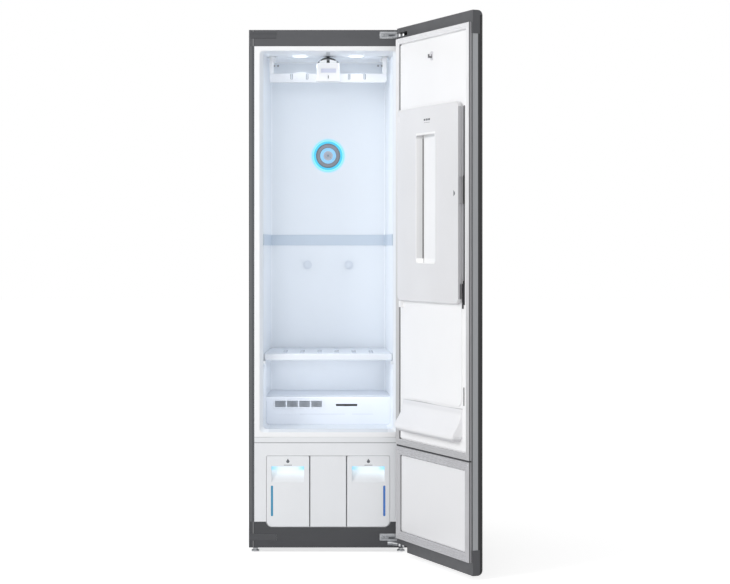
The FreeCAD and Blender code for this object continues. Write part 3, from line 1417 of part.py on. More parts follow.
def steam_hose():
    """Hose from the boiler up behind the liner to the nozzle in the back wall."""
    x, y = steam_x0 + 100.0, steam_y0 + boiler_depth / 2
    z0 = deck_top + boiler_leg + boiler_height + 0.1
    rise_y = cavity_back + (back - cavity_back) / 2
    z_nozzle = ceiling - ring_below_ceiling
    level = deck_top + duct_height + 45.0
    points = [(x, y, z0), (x, y, level), (0, rise_y, level), (0, rise_y, z_nozzle),
              (0, cavity_back + nozzle_tail + 0.1, z_nozzle)]
    return tube_run(hose_r, points)


def water_pumps():
    """Supply and drain pumps beside the boiler."""
    pumps = []
    body_r, motor_r, spout_r = 18.0, 14.0, 4.0
    body_height, motor_top, spout_z, spout_reach = 38.0, 66.0, 20.0, 24.0
    x = steam_x0 + boiler_width + 30.0
    for k in range(2):
        y = steam_y0 + 26 + k * 52.0
        body = rod(body_r, (x, y, deck_top + fit_gap), (x, y, deck_top + body_height))
        body = body.fuse(rod(motor_r, (x, y, deck_top + body_height - 1), (x, y, deck_top + motor_top)))
        spout_height = deck_top + spout_z
        pumps.append(body.fuse(rod(spout_r, (x, y, spout_height), (x - spout_reach, y, spout_height))))
    return pumps


def control_board():
    """Main board on four standoffs from the right side panel."""
    thickness, width, height = 1.6, 150.0, 180.0
    post_r, post_inset = 3.5, 12.0
    x = inner_half - 9.0
    y0, z0 = rear_room + 10.0, deck_top + 120.0
    board = box(x, x + thickness, y0, y0 + width, z0, z0 + height)
    for y in (y0 + post_inset, y0 + width - post_inset):
        for z in (z0 + post_inset, z0 + height - post_inset):
            board = board.fuse(rod(post_r, (x + 1, y, z), (half_w - sheet - fit_gap, y, z)))
    chip_width, chip_height = 26.0, 30.0
    for dy, dz, h in ((30, 40, 18), (70, 60, 26), (110, 120, 14), (40, 130, 22)):
        board = board.fuse(box(x - h, x + 0.5, y0 + dy, y0 + dy + chip_width, z0 + dz, z0 + dz + chip_height))
    return board.removeSplitter()


# ---------------------------------------------------------------- build every node
write("side_panels", mirrored(side_panel()), side_panel())
write("top_panel", top_panel())
write("back_panel", back_panel())
write("base_frame", base_frame())
write("power_inlet", power_inlet())
write("top_fascia", top_fascia())
write("kick_plate", kick_plate())
write("cavity_liner", cavity_liner())
write("liner_band", liner_band())
write("shelf_runners", *shelf_runners())
write("machine_cover", machine_cover())
write("lint_filter", lint_filter())
write("aroma_case", aroma_case())
write("lamp_lenses", *lamp_lenses())
light, bezel, insert = nozzle_parts()
write("nozzle_light_ring", light)
write("nozzle_bezel", bezel)
write("nozzle_insert", insert)
write("wall_hooks", *wall_hooks())
write("shelf", shelf())
write("drive_rails", drive_rails())
write("hanger_carriage", hanger_carriage())
write("hanger_bar", hanger_bar())
write("drive_cover", drive_cover())
write("drive_dome", drive_dome())
write("drive_rotor", drive_rotor())
write("lower_front_frame", lower_front_frame())
write("tank_bay", tank_bay())
write("centre_cover", centre_cover())
for name, side, handle_start in (("supply", -1, -tank_outer + handle_inset),
                                 ("drain", 1, tank_inner + handle_inset)):
    tank = tank_shell(side, handle_start)
    tank = tank.cut(window_slot(side, 0.0, front - 1, front + tank_front_wall + 1))
    write(name + "_tank", tank)
    write(name + "_window", window_slot(side, -0.05, front + 0.4, front + tank_front_wall))
    write(name + "_lid", tank_lid(side))
for name, place in zip(("left", "right"), foot_places(False)):
    write("foot_" + name, levelling_foot(*place))
write("hinge_brackets", hinge_bracket(True), hinge_bracket(False))
write("screws", *hinge_screws())
write("hinge_covers", *hinge_covers())
write("compressor", *compressor())
write("heat_exchangers", *heat_exchangers(), *refrigerant_pipes())
write("blower_housing", blower_housing())
write("blower_wheel", blower_wheel())
write("steam_generator", steam_generator(), steam_hose())
write("water_pumps", *water_pumps())
write("control_board", control_board())
door_nodes = {
    "door_glass": [door_glass()],
    "door_backing": [door_backing_frame()],
    "door_end_caps": [door_cap(True), door_cap(False)],
    "door_hinge_bushes": [hinge_bush(True), hinge_bush(False)],
    "door_side_profiles": door_side_profiles(),
    "door_gaskets": [gasket(upper_gasket_low, upper_gasket_high, gasket_width),
                     gasket(lower_gasket_low, lower_gasket_high, lower_gasket_width)],
    "door_liners": [door_liner_upper(), door_liner_lower()],
    "door_foam": [door_foam()],
    "press_backing": [press_backing()],
    "press_panel": [press_panel()],
    "press_grip": [press_grip()],
    "press_latch": [press_latch()],
    "drip_scoop": [drip_scoop()],
    "door_hook": [door_hook()],
}
for name, shapes in door_nodes.items():
    write(name, *[opened(shape) for shape in shapes])
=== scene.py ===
import json
import math
import bpy
import bmesh
from mathutils import Matrix, Vector

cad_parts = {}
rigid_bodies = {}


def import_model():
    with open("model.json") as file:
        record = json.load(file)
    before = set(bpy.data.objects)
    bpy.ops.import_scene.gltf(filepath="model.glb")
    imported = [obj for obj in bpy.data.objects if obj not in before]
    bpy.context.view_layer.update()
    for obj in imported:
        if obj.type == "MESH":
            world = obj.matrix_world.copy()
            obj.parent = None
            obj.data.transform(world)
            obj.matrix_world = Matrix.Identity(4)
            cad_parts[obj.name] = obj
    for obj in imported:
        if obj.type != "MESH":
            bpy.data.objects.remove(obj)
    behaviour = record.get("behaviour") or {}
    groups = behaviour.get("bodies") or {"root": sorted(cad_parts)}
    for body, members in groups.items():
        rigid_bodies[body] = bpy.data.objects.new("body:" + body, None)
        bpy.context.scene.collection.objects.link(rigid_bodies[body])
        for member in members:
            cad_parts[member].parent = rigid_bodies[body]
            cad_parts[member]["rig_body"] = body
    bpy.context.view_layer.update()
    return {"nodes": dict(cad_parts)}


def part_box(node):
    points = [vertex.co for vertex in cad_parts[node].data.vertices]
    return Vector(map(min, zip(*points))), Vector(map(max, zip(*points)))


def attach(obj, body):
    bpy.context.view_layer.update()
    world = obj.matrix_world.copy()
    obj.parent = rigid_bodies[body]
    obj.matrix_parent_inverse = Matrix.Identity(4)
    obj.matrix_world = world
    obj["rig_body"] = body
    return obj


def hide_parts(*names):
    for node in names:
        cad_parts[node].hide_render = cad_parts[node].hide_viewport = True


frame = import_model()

scene = bpy.context.scene
scene.view_settings.view_transform = "Standard"
nodes = frame["nodes"]

viewpoint = {
    "lens": 88.0,
    "sensor": 36.0,
    "shiftX": 0.0505,
    "shiftY": -0.0648,
    "distance": 6.973,  # in front of the cabinet's middle
    "height": 1.1536,
}


def makeCamera():
    data = bpy.data.cameras.new("camera")
    data.lens = viewpoint["lens"]
    data.sensor_width = viewpoint["sensor"]
    data.shift_x = viewpoint["shiftX"]
    data.shift_y = viewpoint["shiftY"]
    camera = bpy.data.objects.new("camera", data)
    camera.location = (0, -viewpoint["distance"], viewpoint["height"])
    camera.rotation_euler = (math.pi / 2, 0, 0)
    scene.collection.objects.link(camera)
    scene.camera = camera


makeCamera()
print("camera placed")


# colours are written as screen values and turned into the linear ones that nodes take
def tone(red, green, blue):
    channels = [value / 255 for value in (red, green, blue)]
    bent = [v / 12.92 if v <= 0.04045 else ((v + 0.055) / 1.055) ** 2.4 for v in channels]
    return (*bent, 1.0)


def shade(colour, factor):
    return tuple(min(v * factor, 1.0) for v in colour[:3]) + (1.0,)


def addNode(tree, kind, inputs=None, **settings):
    node = tree.nodes.new(kind)
    for key, value in settings.items():
        setattr(node, key, value)
    for key, value in (inputs or {}).items():
        node.inputs[key].default_value = value
    return node


# a sum on sockets and plain numbers
def reckon(tree, operation, *terms):
    node = addNode(tree, "ShaderNodeMath", operation=operation)
    for index, term in enumerate(terms):
        if isinstance(term, (int, float)):
            node.inputs[index].default_value = term
        else:
            tree.links.new(term, node.inputs[index])
    return node.outputs[0]


# the tree of a socket is its id_data, so the first term here is always a socket
def joined(operation, terms):
    result = terms[0]
    for term in terms[1:]:
        result = reckon(result.id_data, operation, result, term)
    return result


def product(*terms):
    return joined("MULTIPLY", terms)


def total(*terms):
    return joined("ADD", terms)


def along(tree, axis):
    place = addNode(tree, "ShaderNodeTexCoord")
    split = addNode(tree, "ShaderNodeSeparateXYZ")
    tree.links.new(place.outputs["Object"], split.inputs[0])
    return split.outputs[axis]


def fromMiddle(tree):
    return reckon(tree, "ABSOLUTE", along(tree, "X"))


# distance from a line through a point, running from front to back
def awayFrom(tree, point):
    place = addNode(tree, "ShaderNodeTexCoord")
    mapping = addNode(tree, "ShaderNodeMapping", {"Location": (-point[0], 0, -point[2]), "Scale": (1, 0, 1)})
    length = addNode(tree, "ShaderNodeVectorMath", operation="LENGTH")
    tree.links.new(place.outputs["Object"], mapping.inputs["Vector"])
    tree.links.new(mapping.outputs["Vector"], length.inputs[0])
    return length.outputs["Value"]


def ramp(field, start, end, low=0.0, high=1.0):
    tree = field.id_data
    span = addNode(tree, "ShaderNodeMapRange", {"From Min": start, "From Max": end, "To Min": low, "To Max": high},
                   interpolation_type="SMOOTHSTEP")
    tree.links.new(field, span.inputs["Value"])
    return span.outputs[0]


# one between low and high, fading over soft
def band(field, low, high, soft=0.0003):
    return product(ramp(field, low - soft, low + soft), ramp(field, high - soft, high + soft, 1.0, 0.0))


# how all finishes spread their mottling, gloss, grain, and the lightening of their edges, partly worn paint and
# partly painted highlight
surfaceRules = {
    "noiseReach": (0.3, 0.7),  # the part of a noise that takes up the whole change
    "mottleDetail": 4.0,
    "glossDetail": 5.0,
    "glossScale": 3.1,  # finer than the mottling
    "grainDetail": 2.0,
    "coatRoughness": 0.08,
    "wornAndLitTurn": (0.98, 0.75),  # how far a softened edge turns from its face where it gets worn paint and a painted highlight
    "wornAndLitTone": (250, 250, 250),
}


def noiseField(tree, scale, detail, stretch):
    place = addNode(tree, "ShaderNodeTexCoord")
    mapping = addNode(tree, "ShaderNodeMapping", {"Scale": stretch})
    noise = addNode(tree, "ShaderNodeTexNoise", {"Scale": scale, "Detail": detail})
    tree.links.new(place.outputs["Object"], mapping.inputs["Vector"])
    tree.links.new(mapping.outputs["Vector"], noise.inputs["Vector"])
    return noise.outputs[0]


# a finish: broad mottling in the colour, uneven gloss, a fine grain, softened edges, and worn paint and a painted
# highlight on them
def finish(name, colour, roughness=0.4, mottle=0.02, broad=7.0, gloss=0.06, fine=1400.0, grain=0.1,
           depth=0.00005, stretch=(1, 1, 1), metallic=0.0, coat=0.0, specular=0.4, rounding=0.0007, wear=0.06):
    material = bpy.data.materials.new(name)
    material.use_nodes = True
    tree = material.node_tree
    shader = tree.nodes["Principled BSDF"]
    shader.inputs["Metallic"].default_value = metallic
    shader.inputs["Specular IOR Level"].default_value = specular
    shader.inputs["Coat Weight"].default_value = coat
    shader.inputs["Coat Roughness"].default_value = surfaceRules["coatRoughness"]
    blend = addNode(tree, "ShaderNodeMix", data_type="RGBA")
    blend.inputs["A"].default_value = shade(colour, 1 - mottle)
    blend.inputs["B"].default_value = shade(colour, 1 + mottle)
    mottling = noiseField(tree, broad, surfaceRules["mottleDetail"], stretch)
    tree.links.new(ramp(mottling, *surfaceRules["noiseReach"]), blend.inputs["Factor"])
    tree.links.new(blend.outputs["Result"], shader.inputs["Base Color"])
    sheen = noiseField(tree, broad * surfaceRules["glossScale"], surfaceRules["glossDetail"], stretch)
    tree.links.new(ramp(sheen, *surfaceRules["noiseReach"], roughness - gloss / 2, roughness + gloss / 2),
                   shader.inputs["Roughness"])
    edge = addNode(tree, "ShaderNodeBevel", {"Radius": rounding}, samples=4)
    bump = addNode(tree, "ShaderNodeBump", {"Strength": grain, "Distance": depth})
    tree.links.new(noiseField(tree, fine, surfaceRules["grainDetail"], stretch), bump.inputs["Height"])
    tree.links.new(edge.outputs["Normal"], bump.inputs["Normal"])
    tree.links.new(bump.outputs["Normal"], shader.inputs["Normal"])
    # edges lightened towards white: partly worn paint, partly a painted highlight
    if wear:
        flat = addNode(tree, "ShaderNodeNewGeometry")
        turn = addNode(tree, "ShaderNodeVectorMath", operation="DOT_PRODUCT")
        tree.links.new(edge.outputs["Normal"], turn.inputs[0])
        tree.links.new(flat.outputs["Normal"], turn.inputs[1])
        paint((surfaceRules["wornAndLitTone"], wear), ramp(turn.outputs["Value"], *surfaceRules["wornAndLitTurn"]))
    return material


# lays an ink over what the finish has so far, where every field is one; an ink is a colour and a strength
def paint(ink, *fields):
    colour, weight = ink
    tree = fields[0].id_data
    shader = tree.nodes["Principled BSDF"]
    before = shader.inputs["Base Color"].links[0].from_socket
    blend = addNode(tree, "ShaderNodeMix", data_type="RGBA")
    blend.inputs["B"].default_value = tone(*colour)
    tree.links.new(product(*fields, weight), blend.inputs["Factor"])
    tree.links.new(before, blend.inputs["A"])
    tree.links.new(blend.outputs["Result"], shader.inputs["Base Color"])


# light that a finish gives off, where the field is one
def glowWhere(ink, field):
    colour, strength = ink
    tree = field.id_data
    shader = tree.nodes["Principled BSDF"]
    shader.inputs["Emission Color"].default_value = tone(*colour)
    tree.links.new(product(field, strength), shader.inputs["Emission Strength"])


plateGrain = (0.48, 0.03, 9.0, 0.08, 1500.0, 0.35)
sheetGrain = (0.4, 0.045, 110.0, 0.12, 900.0, 0.15)
sealGrain = (0.5, 0.02, 12.0, 0.08, 700.0, 0.15)
streaked = {"depth": 0.00008, "stretch": (0.2, 1, 1), "specular": 0.3}
# each finish: its colour; its roughness, mottling, the scale of that, how uneven its gloss is, the scale of its grain
# and the strength of that; and what else it sets, by name
surfaces = {
    "casingPaint": ((76, 78, 81), (0.42, 0.014, 5.0, 0.035, 1800.0, 0.2), {"metallic": 0.3}),
    "fasciaPlastic": ((86, 87, 90), plateGrain, streaked),
    "plinthPlastic": ((70, 71, 74), plateGrain, streaked),
    "capPlastic": ((84, 85, 88), (0.46, 0.03, 9.0, 0.08, 1500.0, 0.35), {"depth": 0.00008, "specular": 0.3}),
    "zincSheet": ((170, 173, 176), sheetGrain, {"metallic": 0.85}),
    # the liner's faint blue is partly painted light: white plastic given the blue cast of the cavity's lamps
    "linerPlastic": ((228, 234, 241), (0.3, 0.006, 3.0, 0.03, 1200.0, 0.05),
                     {"coat": 0.1, "rounding": 0.0015, "wear": 0.0}),
    "coverPlastic": ((228, 234, 243), (0.34, 0.008, 4.0, 0.04, 1300.0, 0.08), {"wear": 0.0}),
    "grillePlastic": ((228, 234, 243), (0.42, 0.02, 12.0, 0.06, 1300.0, 0.12)),
    "bandPlastic": ((198, 210, 223), (0.36, 0.01, 6.0, 0.04, 1500.0, 0.15), {"wear": 0.0}),
    "shelfPlastic": ((232, 238, 246), (0.3, 0.008, 4.0, 0.04, 1400.0, 0.08)),
    "barPlastic": ((234, 237, 242), (0.32, 0.008, 4.0, 0.05)),
    "whitePlastic": ((240, 242, 245), (0.32, 0.008, 4.0, 0.05)),
    "framePlastic": ((234, 236, 239), (0.36, 0.01, 4.0, 0.05, 1400.0, 0.14)),
    "tankPlastic": ((235, 237, 240), (0.3, 0.008, 4.0, 0.05)),
    "doorPlastic": ((250, 250, 251), (0.36, 0.01, 4.0, 0.06, 1400.0, 0.15)),
    "pressPlastic": ((234, 234, 236), (0.42, 0.012, 5.0, 0.06, 1500.0, 0.25)),
    "gripPlastic": ((250, 250, 251), (0.34, 0.01, 5.0, 0.06, 1500.0, 0.15)),
    "sealWhite": ((238, 238, 240), sealGrain, {"depth": 0.0001, "rounding": 0.0004}),
    # the lower seal's grey is the seal's white darkened as painted shade, as less light reaches low on the door
    "sealShadeGrey": ((194, 194, 197), sealGrain, {"depth": 0.0001, "rounding": 0.0004}),
    "blackEdging": ((20, 20, 22), (0.45, 0.1, 14.0, 0.1, 1200.0, 0.2)),
    "frontGlass": ((20, 21, 23), (0.07, 0.06, 1.6, 0.03, 30.0, 0.02), {"coat": 0.5, "specular": 0.3}),
    "sideProfile": ((158, 160, 163), (0.42, 0.03, 260.0, 0.08, 1600.0, 0.25),
                    {"stretch": (1, 1, 0.01), "metallic": 0.25}),
    "chromePlate": ((205, 208, 212), (0.16, 0.03, 20.0, 0.05, 300.0, 0.05), {"metallic": 1.0}),
    "blackRubber": ((38, 38, 40), (0.72, 0.12, 18.0, 0.12, 600.0, 0.5), {"depth": 0.0002}),
    "footMetal": ((172, 174, 177), (0.3, 0.06, 40.0, 0.12, 700.0, 0.2), {"metallic": 0.9}),
    "hingeSteel": ((150, 152, 155), (0.34, 0.1, 60.0, 0.14, 900.0, 0.2),
                   {"metallic": 0.8, "specular": 0.3, "wear": 0.35}),
    "domeMetal": ((240, 242, 245), (0.22, 0.02, 30.0, 0.06, 700.0, 0.1), {"metallic": 0.1}),
    "latchGrey": ((168, 168, 171), (0.42, 0.03, 30.0, 0.08, 900.0, 0.2)),
    "gapDark": ((56, 57, 60), (0.6, 0.05, 40.0, 0.08, 700.0, 0.2), {"wear": 0.0}),
    "lampLens": ((250, 252, 255), (0.2, 0.01)),
    "ringLight": ((60, 195, 232), (0.25, 0.02)),
    "bezelPlastic": ((134, 138, 146), (0.35, 0.04, 12.0, 0.08, 900.0, 0.2)),
    "nozzlePlastic": ((150, 206, 238), (0.3, 0.02, 12.0, 0.08, 900.0, 0.1)),
    "tealWindow": ((52, 138, 172), (0.12, 0.08, 60.0), {"coat": 0.6}),
    "blueWindow": ((46, 108, 184), (0.12, 0.08, 60.0), {"coat": 0.6}),
    "foamCore": ((226, 214, 176), (0.9, 0.08, 60.0, 0.08, 500.0, 0.9), {"depth": 0.0006}),
    "ductPlastic": ((198, 201, 204), (0.5, 0.04, 10.0, 0.1, 900.0, 0.3)),
    "compressorBlack": ((32, 32, 34), (0.45, 0.12, 16.0, 0.12, 700.0, 0.3)),
    "coilMetal": ((196, 199, 203), (0.3, 0.08, 30.0, 0.1, 1500.0, 0.2),
                  {"metallic": 1.0, "rounding": 0.0002, "wear": 0.0}),
    "boilerCasting": ((172, 174, 178), (0.45, 0.08, 50.0, 0.12, 500.0, 0.6), {"depth": 0.0002, "metallic": 0.8}),
    "boardGreen": ((38, 104, 62), (0.42, 0.1, 30.0, 0.1, 900.0, 0.2)),
    "blankPlastic": ((77, 78, 81), (0.46, 0.03, 9.0, 0.08, 1500.0, 0.35), streaked),
    "drivePlastic": ((250, 251, 253), (0.32, 0.008, 4.0, 0.05)),
    "chutePlastic": ((244, 244, 246), (0.34, 0.008, 4.0, 0.05)),
    "hookPlastic": ((222, 222, 226), (0.34, 0.01, 8.0, 0.05)),
    "screwSteel": ((148, 150, 153), (0.32, 0.06, 60.0, 0.1, 700.0, 0.2), {"metallic": 0.8, "wear": 0.2}),
    "pegPlastic": ((218, 225, 234), (0.34, 0.01, 8.0, 0.05)),
    "backSheet": ((170, 173, 176), sheetGrain, {"metallic": 0.85}),
    "markGrey": ((96, 99, 104), (0.5, 0.04, 40.0, 0.05, 900.0, 0.1), {"wear": 0.0}),
}
finishes = {name: finish(name, tone(*colour), *values, **dict(*others))
            for name, (colour, values, *others) in surfaces.items()}

windowGlow = {
    "tealWindow": ((30, 130, 190), 0.1),
    "blueWindow": ((30, 100, 200), 0.1),
}
for name, (colour, strength) in windowGlow.items():
    shader = finishes[name].node_tree.nodes["Principled BSDF"]
    shader.inputs["Emission Color"].default_value = tone(*colour)
    shader.inputs["Emission Strength"].default_value = strength

nodeFinishes = {
    "casingPaint": ["side_panels", "top_panel"],
    "fasciaPlastic": ["top_fascia"],
    "blankPlastic": ["hinge_covers"],
    "plinthPlastic": ["kick_plate"],
    "capPlastic": ["door_end_caps"],
    "zincSheet": ["base_frame", "drive_rails", "drive_rotor"],
    "backSheet": ["back_panel"],
    "linerPlastic": ["cavity_liner", "shelf_runners"],
    "pegPlastic": ["wall_hooks"],
    "coverPlastic": ["machine_cover"],
    "grillePlastic": ["lint_filter"],
    "shelfPlastic": ["shelf"],
    "bandPlastic": ["liner_band"],
    "barPlastic": ["hanger_bar"],
    "whitePlastic": ["hanger_carriage", "drip_scoop"],
    "drivePlastic": ["drive_cover"],
    "hookPlastic": ["door_hook"],
    "framePlastic": ["lower_front_frame", "centre_cover"],
    "tankPlastic": ["supply_tank", "drain_tank"],
    "doorPlastic": ["door_liners", "press_backing"],
    "pressPlastic": ["press_panel"],
    "gripPlastic": ["press_grip"],
    "sealWhite": ["door_gaskets"],
    "blackEdging": ["door_backing", "aroma_case"],
    "frontGlass": ["door_glass"],
    "sideProfile": ["door_side_profiles"],
    "chromePlate": ["door_hinge_bushes"],
    "screwSteel": ["screws"],
    "hingeSteel": ["hinge_brackets"],
    "domeMetal": ["drive_dome"],
    "latchGrey": ["press_latch"],
    "blackRubber": ["power_inlet"],
    "footMetal": ["foot_left", "foot_right"],
    "lampLens": ["lamp_lenses"],
    "ringLight": ["nozzle_light_ring"],
    "bezelPlastic": ["nozzle_bezel"],
    "nozzlePlastic": ["nozzle_insert"],
    "tealWindow": ["supply_window"],
    "blueWindow": ["drain_window"],
    "foamCore": ["door_foam"],
    "ductPlastic": ["blower_housing", "blower_wheel", "water_pumps", "tank_bay", "supply_lid", "drain_lid"],
    "compressorBlack": ["compressor"],
    "coilMetal": ["heat_exchangers"],
    "boilerCasting": ["steam_generator"],
    "boardGreen": ["control_board"],
}

for finishName, names in nodeFinishes.items():
    for nodeName in names:
        for slot in nodes[nodeName].material_slots:
            slot.material = finishes[finishName]
print("finishes on", sum(len(names) for names in nodeFinishes.values()), "nodes")

# the door stands open at rest: what is on it is laid out as if it were shut, then turned
doorSwing = {
    "hingeX": 0.2854,
    "hingeY": -0.31,
    "openAngle": 113.6,
}
hingeLine = Vector((doorSwing["hingeX"], doorSwing["hingeY"], 0))
doorOpen = (Matrix.Translation(hingeLine) @ Matrix.Rotation(math.radians(doorSwing["openAngle"]), 4, "Z")
            @ Matrix.Translation(-hingeLine))
doorShut = doorOpen.inverted()


# how far a point of the door lies across it (row 0) or in its depth (row 1), as if it were shut
def shutPlace(tree, row):
    line = doorShut[row]
    turned = reckon(tree, "ADD", reckon(tree, "MULTIPLY", along(tree, "X"), line[0]),
                    reckon(tree, "MULTIPLY", along(tree, "Y"), line[1]))
    return reckon(tree, "ADD", turned, line[3])


def treeOf(name):
    return finishes[name].node_tree


plateLook = {
    "joint": 0.2772,  # between a side frame and the plate beside it
    "groove": (-0.0012, 0.0012, 0.0006),  # across the joint
    "lip": (0.002, 0.006, 0.001),
    "rule": (1.944, 1.946),  # lines of the upper blank cover
    "ruleFoot": (1.9292, 1.9282),
    "upperHalf": (1.0, 1.1),
    "fold": (0.2882, 0.2918, 0.0012),  # of a side panel's front edge
    "foldFront": (-0.262, -0.27),
    "frameSeam": (0.4088, 0.4114, 0.0004),
    "sillJoint": (0.4296, 0.4306),
    "sillEnds": (0.19, 0.24),
    "grooveInk": ((40, 41, 43), 0.45),
    "lipInk": ((250, 250, 250), 0.12),
    "ruleInk": ((44, 45, 48), 0.5),
    "foldInk": ((250, 250, 250), 0.07),
    "seamInk": ((152, 154, 158), 0.9),
    "sillInk": ((150, 152, 156), 0.7),
}


# joints of the dark plates, each a groove in painted shade with a painted highlight on its lip; the blank covers'
# lines; a painted highlight on the side panels' front fold; and the seams of the lower white frame, with painted
# shade in the frame's groove
def markPlates(look=plateLook):
    for name in ("fasciaPlastic", "plinthPlastic"):
        tree = treeOf(name)
        offset = reckon(tree, "SUBTRACT", fromMiddle(tree), look["joint"])
        # painted shade in the groove of each joint, and a painted highlight on its lip
        paint(look["grooveInk"], band(offset, *look["groove"]))
        paint(look["lipInk"], band(offset, *look["lip"]))
    tree = treeOf("blankPlastic")
    height = along(tree, "Z")
    rule = total(band(height, *look["rule"]), ramp(height, *look["ruleFoot"]))
    paint(look["ruleInk"], rule, ramp(height, *look["upperHalf"]))
    tree = treeOf("casingPaint")
    # a painted highlight along the side panels' front fold
    paint(look["foldInk"], band(fromMiddle(tree), *look["fold"]), ramp(along(tree, "Y"), *look["foldFront"]))
    tree = treeOf("framePlastic")
    height = along(tree, "Z")
    # painted shade in the groove of the frame's seam
    paint(look["seamInk"], band(height, *look["frameSeam"]))
    paint(look["sillInk"], ramp(height, *look["sillJoint"]), ramp(fromMiddle(tree), *look["sillEnds"]))


backLook = {
    "outer": ((0.052, 1.93), (0.2705, 0.2695)),  # heights and side edge of the bead's outline
    "inner": ((0.056, 1.926), (0.2665, 0.2655)),
    "soft": 0.001,
    "crossBeads": (0.62, 1.28),
    "crossEnds": (0.24, 0.238),
    "shadow": (0.0, 0.0035),
    "shine": (0.0045, 0.0075),
    "shadowInk": ((70, 72, 75), 0.3),
    "shineInk": ((245, 246, 248), 0.3),
}


# a stamped bead round the rear sheet and two across it
def markBack(look=backLook):
    tree = treeOf("backSheet")
    side, height = fromMiddle(tree), along(tree, "Z")
    outer, inner = [product(band(height, *levels, look["soft"]), ramp(side, *edge))
                    for levels, edge in (look["outer"], look["inner"])]
    paint(look["shadowInk"], reckon(tree, "SUBTRACT", outer, inner))
    for foot in look["crossBeads"]:
        level = reckon(tree, "SUBTRACT", height, foot)
        for part in ("shadow", "shine"):
            paint(look[part + "Ink"], band(level, *look[part], look["soft"]), ramp(side, *look["crossEnds"]))


linerLook = {
    "sideWalls": (0.2234, 0.2242),
    "ceiling": (1.8785, 1.8795),
    "flange": (-0.2712, -0.2722),
    "seamHalf": (0.0085, 0.007),
    "seamLevel": (1.8795, 1.8805),
    "seamReach": (-0.235, -0.1, 0.004),
    "wallInk": ((240, 245, 251), 1.0),
    "ceilingInk": ((250, 252, 255), 1.0),
    "flangeInk": ((246, 247, 249), 1.0),
    "seamInk": ((150, 157, 166), 0.5),
}


# the liner's side walls and ceiling painted lighter than its back wall as painted light, its white front flange, and
# the seam in its ceiling
def markLiner(look=linerLook):
    tree = treeOf("linerPlastic")
    side, depth, height = fromMiddle(tree), along(tree, "Y"), along(tree, "Z")
    # painted light: side walls and ceiling lighter than the back wall
    paint(look["wallInk"], ramp(side, *look["sideWalls"]))
    paint(look["ceilingInk"], ramp(height, *look["ceiling"]))
    paint(look["flangeInk"], ramp(depth, *look["flange"]))
    paint(look["seamInk"], ramp(side, *look["seamHalf"]), ramp(height, *look["seamLevel"]),
          band(depth, *look["seamReach"]))


coverLook = {
    "cells": (-0.1832, -0.1369, -0.0898, -0.0447),  # middles of the filter's four louvred cells
    "cellHalf": (-0.0212, 0.0212, 0.0006),
    "cellLevels": (0.5285, 0.553, 0.0006),
    "browLevels": (0.55, 0.553, 0.0008),
    "front": (-0.103, -0.1045),
    "lineLevels": (0.501, 0.5026, 0.0005),
    "lineReaches": ((-0.108, 0.065, 0.002), (0.092, 0.173, 0.002)),
    "cellInk": ((184, 192, 202), 0.72),
    "browInk": ((120, 128, 140), 0.5),
    "lineInk": ((160, 170, 184), 0.35),
}


# shade in the filter's cells, and the machine cover's lower parting lines
def markCover(look=coverLook):
    tree = treeOf("grillePlastic")
    across, height = along(tree, "X"), along(tree, "Z")
    cells = total(*[band(reckon(tree, "SUBTRACT", across, middle), *look["cellHalf"]) for middle in look["cells"]])
    cells = product(cells, band(height, *look["cellLevels"]))
    paint(look["cellInk"], cells)
    # a darker painted shadow under the cells' top edge
    paint(look["browInk"], cells, band(height, *look["browLevels"]))
    tree = treeOf("coverPlastic")
    reach = total(*[band(along(tree, "X"), *ends) for ends in look["lineReaches"]])
    paint(look["lineInk"], band(along(tree, "Z"), *look["lineLevels"]), reach,
          ramp(along(tree, "Y"), *look["front"]))


hangerLook = {
    "notches": (0.081, 0.141),
    "notchHalf": (-0.0042, 0.0042, 0.0006),
    "notchLevels": (1.7925, 1.8125, 0.002),
    "stemLevel": (1.8785, 1.881),
    "flank": (0.031, 0.0345),
    "footSide": (0.032, 0.0345),
    "footLevel": (1.864, 1.858),
    "rimSide": (0.03, 0.027),
    "rimLevel": (1.866, 1.868),
    "rimArch": 6.7,  # how fast the dark rim falls away from the middle
    "core": (0.0065, 0.005),
    "coreLevel": (1.866, 1.8635),
    "driveFront": (-0.075, -0.077),
    "window": ((-0.027, 0.03, 0.0006), (1.817, 1.833, 0.0006)),
    "catch": ((-0.001, 0.003, 0.0006), (1.7945, 1.806, 0.0006)),
    "notchInk": ((84, 90, 100), 1.0),
    "stemInk": ((150, 160, 170), 0.9),
    "flankInk": ((150, 158, 167), 0.85),
    "footInk": ((78, 84, 92), 0.7),
    "rimInk": ((26, 28, 31), 0.92),
    "coreInk": ((74, 79, 86), 0.75),
    "coreDarkInk": ((24, 26, 29), 0.85),
    "windowInk": ((218, 222, 240), 0.9),
    "catchInk": ((104, 108, 116), 0.75),
}


